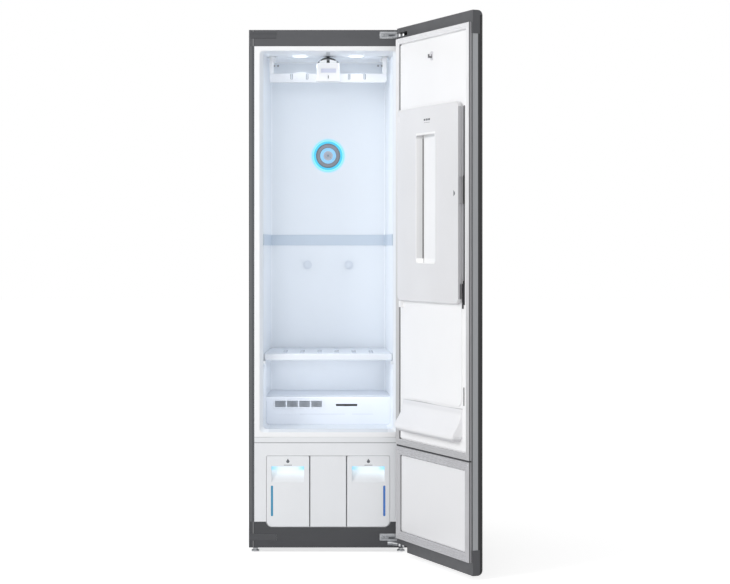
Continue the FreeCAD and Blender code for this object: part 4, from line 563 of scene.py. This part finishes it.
# painted shade in the bar's notches, painted reflections on the chrome dome, and the drive cover's window and catch
def markHanger(look=hangerLook):
    tree = treeOf("barPlastic")
    side = fromMiddle(tree)
    notches = total(*[band(reckon(tree, "SUBTRACT", side, place), *look["notchHalf"]) for place in look["notches"]])
    # painted shade in the notches
    paint(look["notchInk"], notches, band(along(tree, "Z"), *look["notchLevels"]))
    tree = treeOf("domeMetal")
    side, height = fromMiddle(tree), along(tree, "Z")
    arched = total(height, product(side, side, look["rimArch"]))
    core = ramp(side, *look["core"])
    # painted reflections on the chrome dome: a light stem and flanks, a dark foot, rim and core
    paint(look["stemInk"], ramp(height, *look["stemLevel"]))
    paint(look["flankInk"], ramp(side, *look["flank"]))
    paint(look["footInk"], ramp(side, *look["footSide"]), ramp(height, *look["footLevel"]))
    paint(look["rimInk"], ramp(side, *look["rimSide"]), ramp(arched, *look["rimLevel"]))
    paint(look["coreInk"], core)
    paint(look["coreDarkInk"], core, ramp(height, *look["coreLevel"]))
    tree = treeOf("drivePlastic")
    for part in ("window", "catch"):
        reach, levels = look[part]
        paint(look[part + "Ink"], band(along(tree, "X"), *reach),
              band(along(tree, "Z"), *levels), ramp(along(tree, "Y"), *look["driveFront"]))


lampLook = {
    "across": 0.108,
    "depth": -0.095,
    "edge": (0.0295, 0.02),
    "levels": (0.25, 1.0),
    "glow": ((240, 248, 255), 1.4),
}


# a ceiling lamp is brightest in its middle
def markLamps(look=lampLook):
    tree = treeOf("lampLens")
    offset = addNode(tree, "ShaderNodeCombineXYZ")
    length = addNode(tree, "ShaderNodeVectorMath", operation="LENGTH")
    tree.links.new(reckon(tree, "SUBTRACT", fromMiddle(tree), look["across"]), offset.inputs[0])
    tree.links.new(reckon(tree, "SUBTRACT", along(tree, "Y"), look["depth"]), offset.inputs[1])
    tree.links.new(offset.outputs[0], length.inputs[0])
    glowWhere(look["glow"], ramp(length.outputs["Value"], *look["edge"], *look["levels"]))


doorLook = {
    "front": (-0.305, -0.3062),
    "inner": (-0.2862, -0.2854),
    "innerSide": (0.2885, 0.2893),
    "sealFade": (1.85, 0.45),
    "sealSide": (0.2866, 0.2869),
    "sealRear": (-0.2762, -0.2756),
    "sealFold": (-0.28, -0.276),
    "panelFoot": (0.409, 0.407),
    "slit": ((-0.0045, 0.001, 0.0006), (1.821, 1.835, 0.0006)),
    "frontInk": ((24, 24, 26), 0.95),
    "innerInk": ((78, 79, 82), 0.85),
    "sealLowShadeInk": ((92, 92, 95), 0.4),
    "sealSideInk": ((182, 182, 185), 0.9),
    "sealRearInk": ((200, 200, 203), 0.9),
    "sealFoldInk": ((90, 90, 93), 0.9),
    "panelFootShadeInk": ((236, 236, 238), 0.9),
    "slitInk": ((72, 72, 75), 0.9),
    "chuteShades": (((0.56, 0.572), ((234, 234, 236), 0.85)),  # heights over which each ink comes in
                   ((0.5825, 0.5835), ((176, 176, 179), 0.8)),
                   ((0.484, 0.476), ((214, 214, 217), 0.85))),
}


# the door's edge strips, painted shade on its seals (darker downwards and on their sides), painted shade on the lower
# part of its inner panel, its hook's slit and painted shade on its chute
def markDoor(look=doorLook):
    tree = treeOf("sideProfile")
    across, depth = reckon(tree, "ABSOLUTE", shutPlace(tree, 0)), shutPlace(tree, 1)
    paint(look["frontInk"], ramp(depth, *look["front"]))
    paint(look["innerInk"], ramp(depth, *look["inner"]), ramp(across, *look["innerSide"]))
    tree = treeOf("sealWhite")
    # painted shade on the white seal, darker towards the bottom
    paint(look["sealLowShadeInk"], ramp(along(tree, "Z"), *look["sealFade"]))
    for name in ("sealWhite", "sealShadeGrey"):
        tree = treeOf(name)
        wall = ramp(reckon(tree, "ABSOLUTE", shutPlace(tree, 0)), *look["sealSide"])
        depth = shutPlace(tree, 1)
        # painted shade on the seals' side walls, darkest in their folds
        paint(look["sealSideInk"], wall)
        paint(look["sealRearInk"], wall, ramp(depth, *look["sealRear"]))
        paint(look["sealFoldInk"], wall, band(depth, *look["sealFold"]))
    tree = treeOf("doorPlastic")
    # painted shade on the lower part of the door's inner panel
    paint(look["panelFootShadeInk"], ramp(along(tree, "Z"), *look["panelFoot"]))
    tree = treeOf("hookPlastic")
    reach, levels = look["slit"]
    paint(look["slitInk"], band(shutPlace(tree, 0), *reach), band(along(tree, "Z"), *levels))
    tree = treeOf("chutePlastic")
    # painted shade on the chute: on its top, a dark line at its upper edge, and on its lower curve
    for levels, ink in look["chuteShades"]:
        paint(ink, ramp(along(tree, "Z"), *levels))


pressLook = {
    "edge": (-0.239, -0.2397),  # the press's free side
    "fadeAcross": (0.1, -0.23),
    "fadeDown": (1.6, 1.4),
    "brow": ((-0.07, 0.082, 0.001), (1.548, 1.555, 0.001)),  # bright line over the grip
    "footLevel": (1.022, 1.014),
    "footDepth": (-0.2645, -0.2665),
    "edgeInk": ((190, 190, 193), 0.92),
    "fadeShadeInk": ((120, 120, 124), 0.05),
    "browInk": ((255, 255, 255), 0.9),
    "footInk": ((74, 74, 77), 0.85),
}


# the press's shaded side and foot, painted shade growing towards its free side and its bottom, and a painted
# highlight over its grip
def markPress(look=pressLook):
    tree = treeOf("pressPlastic")
    across, depth, height = shutPlace(tree, 0), shutPlace(tree, 1), along(tree, "Z")
    edge = ramp(across, *look["edge"])
    reach, levels = look["brow"]
    paint(look["edgeInk"], edge)
    # painted shade growing towards the free side and towards the bottom
    paint(look["fadeShadeInk"], ramp(across, *look["fadeAcross"]))
    paint(look["fadeShadeInk"], ramp(height, *look["fadeDown"]))
    # a painted highlight over the grip
    paint(look["browInk"], band(across, *reach), band(height, *levels))
    paint(look["footInk"], edge, ramp(height, *look["footLevel"]), ramp(depth, *look["footDepth"]))


gripLook = {
    "wall": (0.0565, 0.0802, 0.0008),  # steep side of the grip
    "wallDepth": (-0.2562, -0.2572),
    "wallFade": (0.08, 0.06, 0.5, 0.62),
    "slot": (0.047, 0.0602, 0.0008),
    "slotDepth": (-0.2575, -0.259),
    "slotLevels": (1.103, 1.537, 0.002),
    "hollow": (-0.066, 0.08, 0.001),
    "crownLevels": (1.538, 1.5464, 0.005),
    "sillLevel": (1.106, 1.102),
    "wallInk": ((166, 166, 169), 1.0),
    "slotInk": ((62, 63, 66), 0.92),
    "crownShadeInk": ((140, 140, 143), 0.6),
    "sillInk": ((255, 255, 255), 0.95),
}


# the walls, slot and ends of the press's grip: painted shade on its steep wall, in its slot and under its top, and a
# painted highlight on its lower end
def markGrip(look=gripLook):
    tree = treeOf("gripPlastic")
    across, depth, height = shutPlace(tree, 0), shutPlace(tree, 1), along(tree, "Z")
    hollow = band(across, *look["hollow"])
    # painted shade on the steep wall and in the slot
    paint(look["wallInk"], band(across, *look["wall"]), ramp(depth, *look["wallDepth"]),
          ramp(across, *look["wallFade"]))
    paint(look["slotInk"], band(across, *look["slot"]), ramp(depth, *look["slotDepth"]),
          band(height, *look["slotLevels"]))
    # painted shade under the top of the hollow, then a painted highlight on its lower end
    paint(look["crownShadeInk"], hollow, band(height, *look["crownLevels"]))
    paint(look["sillInk"], hollow, ramp(height, *look["sillLevel"]))


hingeLook = {
    "plates": (1.9275, 0.041),  # lower edges of the two hinge plates
    "panel": ((0.2, 0.256, 0.001), (0.0055, 0.02, 0.001)),  # across, and above a plate's lower edge
    "slot": ((0.227, 0.25, 0.0015), (0.0085, 0.015, 0.001)),
    "joint": (0.215, 0.26, 0.001),
    "jointLevel": (0.044, 0.0425),
    "shineLevels": (0.033, 0.0375, 0.0008),
    "stripeSoft": 0.0006,
    "stripes": ((0.259, 0.2625, 0.8, 62), (0.265, 0.269, 0.7, 240), (0.271, 0.2755, 0.85, 44),
                (0.278, 0.2815, 0.7, 236), (0.2835, 0.2945, 0.85, 40)),  # reach, weight and brightness
    "panelInk": ((104, 106, 110), 0.55),
    "slotInk": ((58, 60, 63), 0.85),
    "jointInk": ((92, 94, 98), 0.6),
    "shineInk": ((236, 238, 240), 0.6),
}


# pressed outlines and slots of the hinge plates and their arms, and painted highlights on their edges
def markHinges(look=hingeLook):
    tree = treeOf("hingeSteel")
    across, height = along(tree, "X"), along(tree, "Z")
    for foot in look["plates"]:
        level = reckon(tree, "SUBTRACT", height, foot)
        for part in ("panel", "slot"):
            reach, levels = look[part]
            paint(look[part + "Ink"], band(across, *reach), band(level, *levels))
    joint = product(band(across, *look["joint"]), ramp(height, *look["jointLevel"]))
    paint(look["jointInk"], joint)
    paint(look["shineInk"], joint, band(height, *look["shineLevels"]))
    # stripes across the arms; the bright ones are painted highlights
    for low, high, weight, level in look["stripes"]:
        paint(((level, level, level + 2), weight), band(across, low, high, look["stripeSoft"]))


shelfLook = {
    "rim": (0.012, 0.016),  # in from the shelf's edges, where its slots may begin
    "skin": (-0.0006, -0.0016),  # below its top
    "slotInk": ((120, 130, 142), 0.6),
}


# shade in the shelf's slots
def markShelf(look=shelfLook):
    tree = treeOf("shelfPlastic")
    low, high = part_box("shelf")
    depth = along(tree, "Y")
    paint(look["slotInk"], ramp(depth, *[low[1] + inset for inset in look["rim"]]),
          ramp(depth, *[high[1] - inset for inset in look["rim"]]),
          ramp(fromMiddle(tree), *[high[0] - inset for inset in look["rim"]]),
          ramp(along(tree, "Z"), *[high[2] + drop for drop in look["skin"]]))


# every reach here is a distance from the ring's centre
nozzleLook = {
    "height": 1.509,
    "ringRim": (0.0565, 0.06),
    "ringGlow": (0.05, 0.06, 0.55, 1.0),
    "collarLines": ((0.0445, 0.049, 0.001), (0.03, 0.0335, 0.001)),
    "disc": (0.0195, 0.018),
    "discEye": (0.0042, 0.0034),
    "discGlow": (0.019, 0.034, 0.001),
    "halo": (0.071, 0.061),
    "wallDepth": (0.15, 0.16),
    "ringInk": ((190, 245, 255), 1.0),
    "collarInk": ((84, 92, 102), 0.55),
    "discInk": ((186, 192, 203), 1.0),
    "eyeInk": ((120, 150, 170), 1.0),
    "haloInk": ((104, 214, 246), 0.85),
    "ringShine": ((70, 205, 242), 0.35),
    "discShine": ((120, 200, 245), 0.25),
    "haloShine": ((120, 222, 255), 0.22),
}


# the lit ring, its dark collar, the disc in its middle and its light on the wall
def markNozzle(look=nozzleLook):
    centre = (0, 0, look["height"])
    tree = treeOf("ringLight")
    radius = awayFrom(tree, centre)
    paint(look["ringInk"], ramp(radius, *look["ringRim"]))
    glowWhere(look["ringShine"], ramp(radius, *look["ringGlow"]))
    tree = treeOf("bezelPlastic")
    radius = awayFrom(tree, centre)
    for reach in look["collarLines"]:
        paint(look["collarInk"], band(radius, *reach))
    tree = treeOf("nozzlePlastic")
    radius = awayFrom(tree, centre)
    paint(look["discInk"], ramp(radius, *look["disc"]))
    paint(look["eyeInk"], ramp(radius, *look["discEye"]))
    glowWhere(look["discShine"], band(radius, *look["discGlow"]))
    tree = treeOf("linerPlastic")
    halo = product(ramp(awayFrom(tree, centre), *look["halo"]), ramp(along(tree, "Y"), *look["wallDepth"]))
    paint(look["haloInk"], halo)
    glowWhere(look["haloShine"], halo)


# a tank's finger recess is lit from its top
tankLook = {
    "recess": (0.0905, 0.2125, 0.004),  # its inner and outer edge
    "inside": (-0.2729, -0.2722),
    "lit": (0.266, 0.3155),
    "endsFrom": (0.03, 0.058),  # from the recess's middle
    "endLevels": (0.3055, 0.3255, 0.004),
    "endInk": ((136, 222, 250), 0.8),
    "shine": ((232, 250, 255), 0.3),
}


def markTanks(look=tankLook):
    tree = treeOf("tankPlastic")
    side, height = fromMiddle(tree), along(tree, "Z")
    inner, outer, soft = look["recess"]
    inside = ramp(along(tree, "Y"), *look["inside"])
    glowWhere(look["shine"], product(band(side, inner, outer, soft), inside, ramp(height, *look["lit"])))
    offset = reckon(tree, "ABSOLUTE", reckon(tree, "SUBTRACT", side, (inner + outer) / 2))
    # cyan painted light at the two ends of the recess
    paint(look["endInk"], ramp(offset, *look["endsFrom"]), inside, band(height, *look["endLevels"]))


for mark in (markPlates, markBack, markLiner, markCover, markHanger, markLamps, markDoor, markPress, markGrip,
             markHinges, markShelf, markNozzle, markTanks):
    mark()
print("painted details added")


def bodyOf(nodeName):
    return nodes[nodeName]["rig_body"]


meshRules = {
    "merge": 0.000002,  # vertices closer than this become one
    "sharpAngle": 35,  # degrees; flatter edges are shaded smooth
}


def makePiece(name, form, body, material, turn=None, sharp=meshRules["sharpAngle"]):
    bmesh.ops.remove_doubles(form, verts=form.verts, dist=meshRules["merge"])
    bmesh.ops.recalc_face_normals(form, faces=form.faces)
    if turn:
        bmesh.ops.transform(form, matrix=turn, verts=form.verts)
    for face in form.faces:
        face.smooth = True
    for edge in form.edges:
        edge.smooth = edge.calc_face_angle(0.0) < math.radians(sharp)
    mesh = bpy.data.meshes.new(name)
    form.to_mesh(mesh)
    form.free()
    mesh.materials.append(material)
    piece = bpy.data.objects.new(name, mesh)
    scene.collection.objects.link(piece)
    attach(piece, body)
    return piece


def roundEdges(form, edges, offset, steps):
    bmesh.ops.bevel(form, geom=edges, offset=offset, offset_type="OFFSET", segments=steps, profile=0.5,
                    affect="EDGES", clamp_overlap=True, material=-1)


# a block with rounded edges, between two corners
def addBlock(form, low, high, rounding=0.0, steps=1):
    low, high = Vector(low), Vector(high)
    made = bmesh.ops.create_cube(form, size=1.0)["verts"]
    bmesh.ops.scale(form, vec=high - low, verts=made)
    bmesh.ops.translate(form, vec=(low + high) / 2, verts=made)
    if rounding:
        roundEdges(form, list({edge for vert in made for edge in vert.link_edges}), rounding, steps)
    return made


# what was made round the origin, facing up, is turned to face the front and moved into place
def placeMade(form, reach, centre):
    made = [vert for vert in form.verts if vert.co.length < reach]
    bmesh.ops.rotate(form, cent=(0, 0, 0), matrix=Matrix.Rotation(math.pi / 2, 3, "X"), verts=made)
    bmesh.ops.translate(form, vec=centre, verts=made)


def facing(form, direction):
    return max(form.faces, key=lambda face: (round(face.normal.dot(Vector(direction)), 3), face.calc_area()))


sealing = {
    "halfWidth": 0.2874,
    "foot": -0.285,
    "valley": -0.2762,
    "ribs": 4,
    "ribHeight": 0.0025,
    "rounding": 0.00035,
    "foldAngle": 20,  # degrees; only folds sharper and longer than these are rounded
    "foldLength": 0.05,
    "slant": 0.0001,  # a mitre runs askew by more than this
    "upper": (0.411, 1.919, 0.0215),  # lower and upper edge, and width
    "lower": (0.06, 0.405, 0.03),
}


def isFold(edge):
    run = edge.verts[0].co - edge.verts[1].co
    return (min(abs(run.x), abs(run.z)) < sealing["slant"] and run.length > sealing["foldLength"]
            and edge.calc_face_angle(0.0) > math.radians(sealing["foldAngle"]))


# a bellows seal: each rib is a pair of steps round the frame, with mitred corners
def makeSeal(name, measures, material):
    low, high, width = measures
    half, ribs, rise = sealing["halfWidth"], sealing["ribs"], sealing["ribHeight"]
    form = bmesh.new()
    addBlock(form, (-half, sealing["foot"], low), (half, sealing["valley"], high))
    form.normal_update()
    front = facing(form, (0, 1, 0))
    rear = facing(form, (0, -1, 0))
    step = width / (4 * ribs)
    for lift in (rise, 0.0, -rise, 0.0) * ribs:
        bmesh.ops.inset_individual(form, faces=[front], thickness=step, depth=lift, use_even_offset=True)
    bmesh.ops.inset_individual(form, faces=[rear], thickness=width, depth=0.0, use_even_offset=True)
    rims = list(front.edges) + list(rear.edges)
    bmesh.ops.delete(form, geom=[front, rear], context="FACES_ONLY")
    bmesh.ops.bridge_loops(form, edges=rims)
    roundEdges(form, [edge for edge in form.edges if isFold(edge)], sealing["rounding"], 2)
    piece = makePiece(name, form, bodyOf("door_gaskets"), material, doorOpen)
    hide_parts("door_gaskets")


makeSeal("upper_seal", sealing["upper"], finishes["sealWhite"])
# the lower seal takes the seal's finish darkened as painted shade
makeSeal("lower_seal", sealing["lower"], finishes["sealShadeGrey"])
print("seals made")


chute = {
    "halfWidth": 0.232,
    "back": -0.2799,
    "columns": 28,
    "levels": ((0.5845, 0.0035), (0.566, 0.005), (0.543, 0.011), (0.52, 0.022), (0.503, 0.033), (0.492, 0.0385),
               (0.4825, 0.0395), (0.4745, 0.035), (0.469, 0.026)),  # height and stand-off, top to bottom
    "wave": 0.0012,
    "waveTurn": 4.2,
    "cornerFrom": 0.93,  # share of the half width where a corner begins, and the corner's own share
    "cornerShare": 0.07,
    "cornerDrop": 0.018,
    "cornerTuck": 0.0015,
    "lipAngle": 50,
    "lipStand": 0.001,  # the lip's edges stand clear of the back by more than this
    "lipRounding": 0.0012,
    "lipSteps": 3,
    "sharpAngle": 40,
}


# the chute's skin is a grid that follows its levels, with a gentle wave at the top and round lower corners
def makeChute():
    form = bmesh.new()
    levels = chute["levels"]
    rows = len(levels) - 1
    grid = bmesh.ops.create_grid(form, x_segments=chute["columns"], y_segments=rows, size=1.0)["verts"]
    for vert in grid:
        row = round((1 - vert.co.y) / 2 * rows)
        height, reach = levels[row]
        across = vert.co.x
        height += chute["wave"] * math.sin(across * chute["waveTurn"]) * (1 - row / rows)
        corner = max(abs(across) - chute["cornerFrom"], 0) / chute["cornerShare"]
        height += chute["cornerDrop"] * corner * corner * (row / rows) ** 3
        reach -= chute["cornerTuck"] * corner * corner
        vert.co = Vector((across * chute["halfWidth"], chute["back"] + reach, height))
    rim = [edge for edge in form.edges if edge.is_boundary]
    grown = bmesh.ops.extrude_edge_only(form, edges=rim)["geom"]
    for vert in (item for item in grown if isinstance(item, bmesh.types.BMVert)):
        vert.co.y = chute["back"]
    bmesh.ops.holes_fill(form, edges=[edge for edge in form.edges if edge.is_boundary], sides=0)
    lip = [edge for edge in form.edges if edge.calc_face_angle(0.0) > math.radians(chute["lipAngle"])
           and max(v.co.y for v in edge.verts) > chute["back"] + chute["lipStand"]]
    roundEdges(form, lip, chute["lipRounding"], chute["lipSteps"])
    piece = makePiece("drip_chute", form, bodyOf("drip_scoop"), finishes["chutePlastic"], doorOpen,
                      chute["sharpAngle"])
    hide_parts("drip_scoop")


makeChute()
print("chute made")


tankMark = {
    "across": 0.1512,
    "face": -0.273,  # the tank's front
    "height": 0.34,
    "raise": 0.00018,
    "dropSize": 0.0062,
    "dropSegments": 28,
    "dropTaper": 0.75,
    "dropStretch": 1.7,
    "barHalf": 0.015,
    "barDepth": (-0.27323, -0.2729),
    "barLevels": (0.325, 0.3268),
    "rounding": 0.0001,
}


def addDrop(form, centre, size):
    made = bmesh.ops.create_circle(form, cap_ends=True, cap_tris=False, segments=tankMark["dropSegments"],
                                   radius=size)["verts"]
    for vert in made:
        if vert.co.y > 0:
            lift = vert.co.y / size
            vert.co.x *= max(1 - lift, 0.0) ** tankMark["dropTaper"]
            vert.co.y *= tankMark["dropStretch"]
    raised = bmesh.ops.extrude_face_region(form, geom=list(made[0].link_faces))["geom"]
    top = [item for item in raised if isinstance(item, bmesh.types.BMVert)]
    bmesh.ops.translate(form, vec=(0, 0, tankMark["raise"]), verts=top)
    placeMade(form, 4 * size, centre)


# a drop over a short bar
def makeTankMark(name, side, body):
    form = bmesh.new()
    middle, half = side * tankMark["across"], tankMark["barHalf"]
    (front, back), (low, high) = tankMark["barDepth"], tankMark["barLevels"]
    addDrop(form, (middle, tankMark["face"], tankMark["height"]), tankMark["dropSize"])
    addBlock(form, (middle - half, front, low), (middle + half, back, high), tankMark["rounding"])
    makePiece(name, form, body, finishes["markGrey"])


pressMark = {
    "middle": -0.005,  # of the marks above the grip
    "depth": (-0.25655, -0.25637),
    "barSteps": (-0.0175, 0.0, 0.0175),
    "barHalf": 0.0065,
    "barLevels": (1.5975, 1.6045),
    "lineHalf": 0.022,
    "lineLevels": (1.59, 1.5909),
    "rounding": 0.0001,
    "pointer": (-0.22, -0.21),  # beside the latch, its tip at the first end
    "pointerLevels": (1.321, 1.343),
    "pointerTip": 0.25,  # share of its height left at the tip
}


# three short bars over a thin line, above the press's grip, and a small pointer beside its latch
def makePressMark():
    form = bmesh.new()
    front, back = pressMark["depth"]
    bars = [(step, pressMark["barHalf"], pressMark["barLevels"]) for step in pressMark["barSteps"]]
    for step, half, (low, high) in bars + [(0.0, pressMark["lineHalf"], pressMark["lineLevels"])]:
        middle = pressMark["middle"] + step
        addBlock(form, (middle - half, front, low), (middle + half, back, high), pressMark["rounding"])
    (left, right), (low, high) = pressMark["pointer"], pressMark["pointerLevels"]
    middle = (low + high) / 2
    for vert in addBlock(form, (left, front, low), (right, back, high)):
        if vert.co.x < (left + right) / 2:
            vert.co.z = middle + (vert.co.z - middle) * pressMark["pointerTip"]
    makePiece("press_marks", form, bodyOf("press_panel"), finishes["markGrey"], doorOpen)


makeTankMark("supply_mark", -1, bodyOf("supply_tank"))
makeTankMark("drain_mark", 1, bodyOf("drain_tank"))
makePressMark()
print("marks made")


# strips that stand on the door's skin; each has its ends across, its ends in height, its face, its rounding and
# the steps of that
strips = {
    "foot": -0.2845,
    # dark strips of painted shade in deep joints seen edge on
    "gapShadeLines": (((0.2585, 0.2655), (0.4345, 1.8965), -0.27985, 0.0002, 1),  # along the seals, hinge side
                   ((0.2525, 0.257), (0.092, 0.374), -0.28065, 0.0002, 1),
                   ((-0.25, -0.2408), (0.945, 1.635), -0.27985, 0.0002, 1),  # beside the press's free edge
                   ((-0.246, -0.2395), (0.596, 0.66), -0.2792, 0.001, 2),  # beside the board below it
                   ((-0.2412, -0.2362), (0.932, 1.018), -0.2757, 0.0004, 1),
                   ((-0.2868, 0.2868), (0.4055, 0.4105), -0.2775, 0.0002, 1)),  # between the two seals
    "buffers": (((-0.2495, -0.2406), (1.294, 1.393), -0.27765, 0.0002, 1),
                ((-0.2495, -0.2403), (1.018, 1.029), -0.27685, 0.0008, 2)),
    "stop": (((-0.2412, -0.2362), (1.03, 1.633), -0.2757, 0.0004, 1),),
}


def makeStrips(name, blocks, material):
    form = bmesh.new()
    for (left, right), (low, high), face, rounding, steps in blocks:
        addBlock(form, (left, strips["foot"], low), (right, face, high), rounding, steps)
    makePiece(name, form, "door", material, doorOpen)


# dark strips of painted shade where a deep joint is seen edge on, then what stands beside the press's edge
makeStrips("door_gap_shade_lines", strips["gapShadeLines"], finishes["gapDark"])
makeStrips("door_buffers", strips["buffers"], finishes["blackEdging"])
makeStrips("press_stop", strips["stop"], finishes["pressPlastic"])
print("strips made")


screwHead = {
    "segments": 20,
    "taper": 0.82,
    "rim": 0.45,  # shares of the radius
    "driveWall": 0.04,
    "driveDepth": 0.6,  # share of the height
}


# a round screw head with a sunk drive, looking towards -Y
def addScrewHead(form, centre, radius, height):
    made = bmesh.ops.create_cone(form, cap_ends=True, cap_tris=False, segments=screwHead["segments"], radius1=radius,
                                 radius2=radius * screwHead["taper"], depth=height)["verts"]
    top = max({face for vert in made for face in vert.link_faces}, key=lambda face: face.calc_center_median().z)
    bmesh.ops.inset_individual(form, faces=[top], thickness=radius * screwHead["rim"], depth=0.0)
    bmesh.ops.inset_individual(form, faces=[top], thickness=radius * screwHead["driveWall"],
                               depth=-height * screwHead["driveDepth"])
    placeMade(form, 4 * radius, centre)


wallScrews = {
    "spots": ((0.2155, 1.869), (0.2, 1.869)),  # from the middle, and height
    "face": 0.1632,
    "radius": 0.0042,
    "height": 0.0016,
}
rearScrews = {
    "spots": [(0.2835, level) for level in (0.045, 0.42, 0.8, 1.18, 1.56, 1.938)],
    "face": -0.27219,
    "radius": 0.004,
    "height": 0.001,
}


# screws on both sides of the middle; the rear sheet's are made facing the front and then turned to the back
def makeScrews(name, screws, material, turn=None):
    form = bmesh.new()
    for side in (-1, 1):
        for across, level in screws["spots"]:
            addScrewHead(form, (side * across, screws["face"], level), screws["radius"], screws["height"])
    makePiece(name, form, "cabinet", material, turn)


makeScrews("wall_screws", wallScrews, finishes["hingeSteel"])
makeScrews("rear_screws", rearScrews, finishes["screwSteel"], Matrix.Rotation(math.pi, 4, "Z"))
print("screws made")


room = {
    "floorHalf": 30.0,
    "floorTone": 0.8,
    "floorGlow": 0.62,
    "worldLight": 0.52,
}


# background seen straight, in gloss and through glass is plain white
def seenPlainly(tree):
    rays = addNode(tree, "ShaderNodeLightPath")
    some = reckon(tree, "MAXIMUM", rays.outputs["Is Camera Ray"], rays.outputs["Is Glossy Ray"])
    return reckon(tree, "MAXIMUM", some, rays.outputs["Is Transmission Ray"])


def makeFloor():
    mesh = bpy.data.meshes.new("floor")
    form = bmesh.new()
    bmesh.ops.create_grid(form, x_segments=1, y_segments=1, size=room["floorHalf"])
    form.to_mesh(mesh)
    form.free()
    floor = bpy.data.objects.new("floor", mesh)
    scene.collection.objects.link(floor)
    material = bpy.data.materials.new("paleFloor")
    material.use_nodes = True
    tree = material.node_tree
    tree.nodes.clear()
    out = addNode(tree, "ShaderNodeOutputMaterial")
    matt = addNode(tree, "ShaderNodeBsdfDiffuse", {"Color": (*[room["floorTone"]] * 3, 1)})
    glow = addNode(tree, "ShaderNodeEmission", {"Color": (1, 1, 1, 1)})
    both = addNode(tree, "ShaderNodeAddShader")
    tree.links.new(reckon(tree, "MULTIPLY", seenPlainly(tree), room["floorGlow"]), glow.inputs["Strength"])
    tree.links.new(matt.outputs[0], both.inputs[0])
    tree.links.new(glow.outputs[0], both.inputs[1])
    tree.links.new(both.outputs[0], out.inputs["Surface"])
    mesh.materials.append(material)


def makeWorld():
    world = bpy.data.worlds.new("studio")
    world.use_nodes = True
    scene.world = world
    tree = world.node_tree
    background = tree.nodes["Background"]
    background.inputs["Color"].default_value = (1, 1, 1, 1)
    level = addNode(tree, "ShaderNodeMapRange", {"To Min": room["worldLight"], "To Max": 1.0})
    tree.links.new(seenPlainly(tree), level.inputs["Value"])
    tree.links.new(level.outputs[0], background.inputs["Strength"])


# place, aim, size and power of each light
studioLights = {
    "keyLight": ((-3.6, -3.2, 2.8), (0.1, -0.1, 1.1), 2.4, 100.0),
    "fillLight": ((3.0, -3.4, 2.2), (0.1, 0, 1.0), 2.4, 8.0),
    "frontLight": ((-0.3, -6.0, 1.3), (0, 0, 1.0), 3.0, 40.0),
}
lampLights = {
    "leftLamp": ((-0.108, -0.095, 1.874), (-0.108, -0.06, 1.0), 0.05, 0.1),
    "rightLamp": ((0.108, -0.095, 1.874), (0.108, -0.06, 1.0), 0.05, 0.1),
}
# lit panels inside the cavity, with width and height for size; each lies flat within it, clear of the shut door
panelLights = {
    "cavityPanel": ((0.03, -0.235, 1.235), (0.03, 0.166, 1.235), (0.37, 0.97), 0.52),
    "lowerPanel": ((0, -0.235, 0.64), (0, 0.166, 0.64), (0.45, 0.09), 0.16),
    "shelfPanel": ((0, -0.15, 0.708), (0, -0.15, 0.5), (0.44, 0.17), 0.13),
    "recessPanel": ((0, -0.03, 0.648), (0, 0.166, 0.648), (0.42, 0.06), 0.11),
}
lightColours = {
    "studio": (1, 1, 1),
    "lamp": (0.9, 0.95, 1.0),
    "panel": (0.975, 0.985, 1.0),
}


def areaLight(name, place, aim, size, power, colour):
    data = bpy.data.lights.new(name, "AREA")
    data.shape = "DISK"
    data.size = size
    data.energy = power
    data.color = colour
    light = bpy.data.objects.new(name, data)
    light.location = place
    light.rotation_euler = (Vector(aim) - Vector(place)).to_track_quat("-Z", "Y").to_euler()
    scene.collection.objects.link(light)
    return data


makeFloor()
makeWorld()
for lightName, settings in studioLights.items():
    areaLight(lightName, *settings, lightColours["studio"])
for lightName, settings in lampLights.items():
    areaLight(lightName, *settings, lightColours["lamp"])
for lightName, (place, aim, (width, height), power) in panelLights.items():
    panel = areaLight(lightName, place, aim, width, power, lightColours["panel"])
    panel.shape = "RECTANGLE"
    panel.size_y = height
print("room lit")
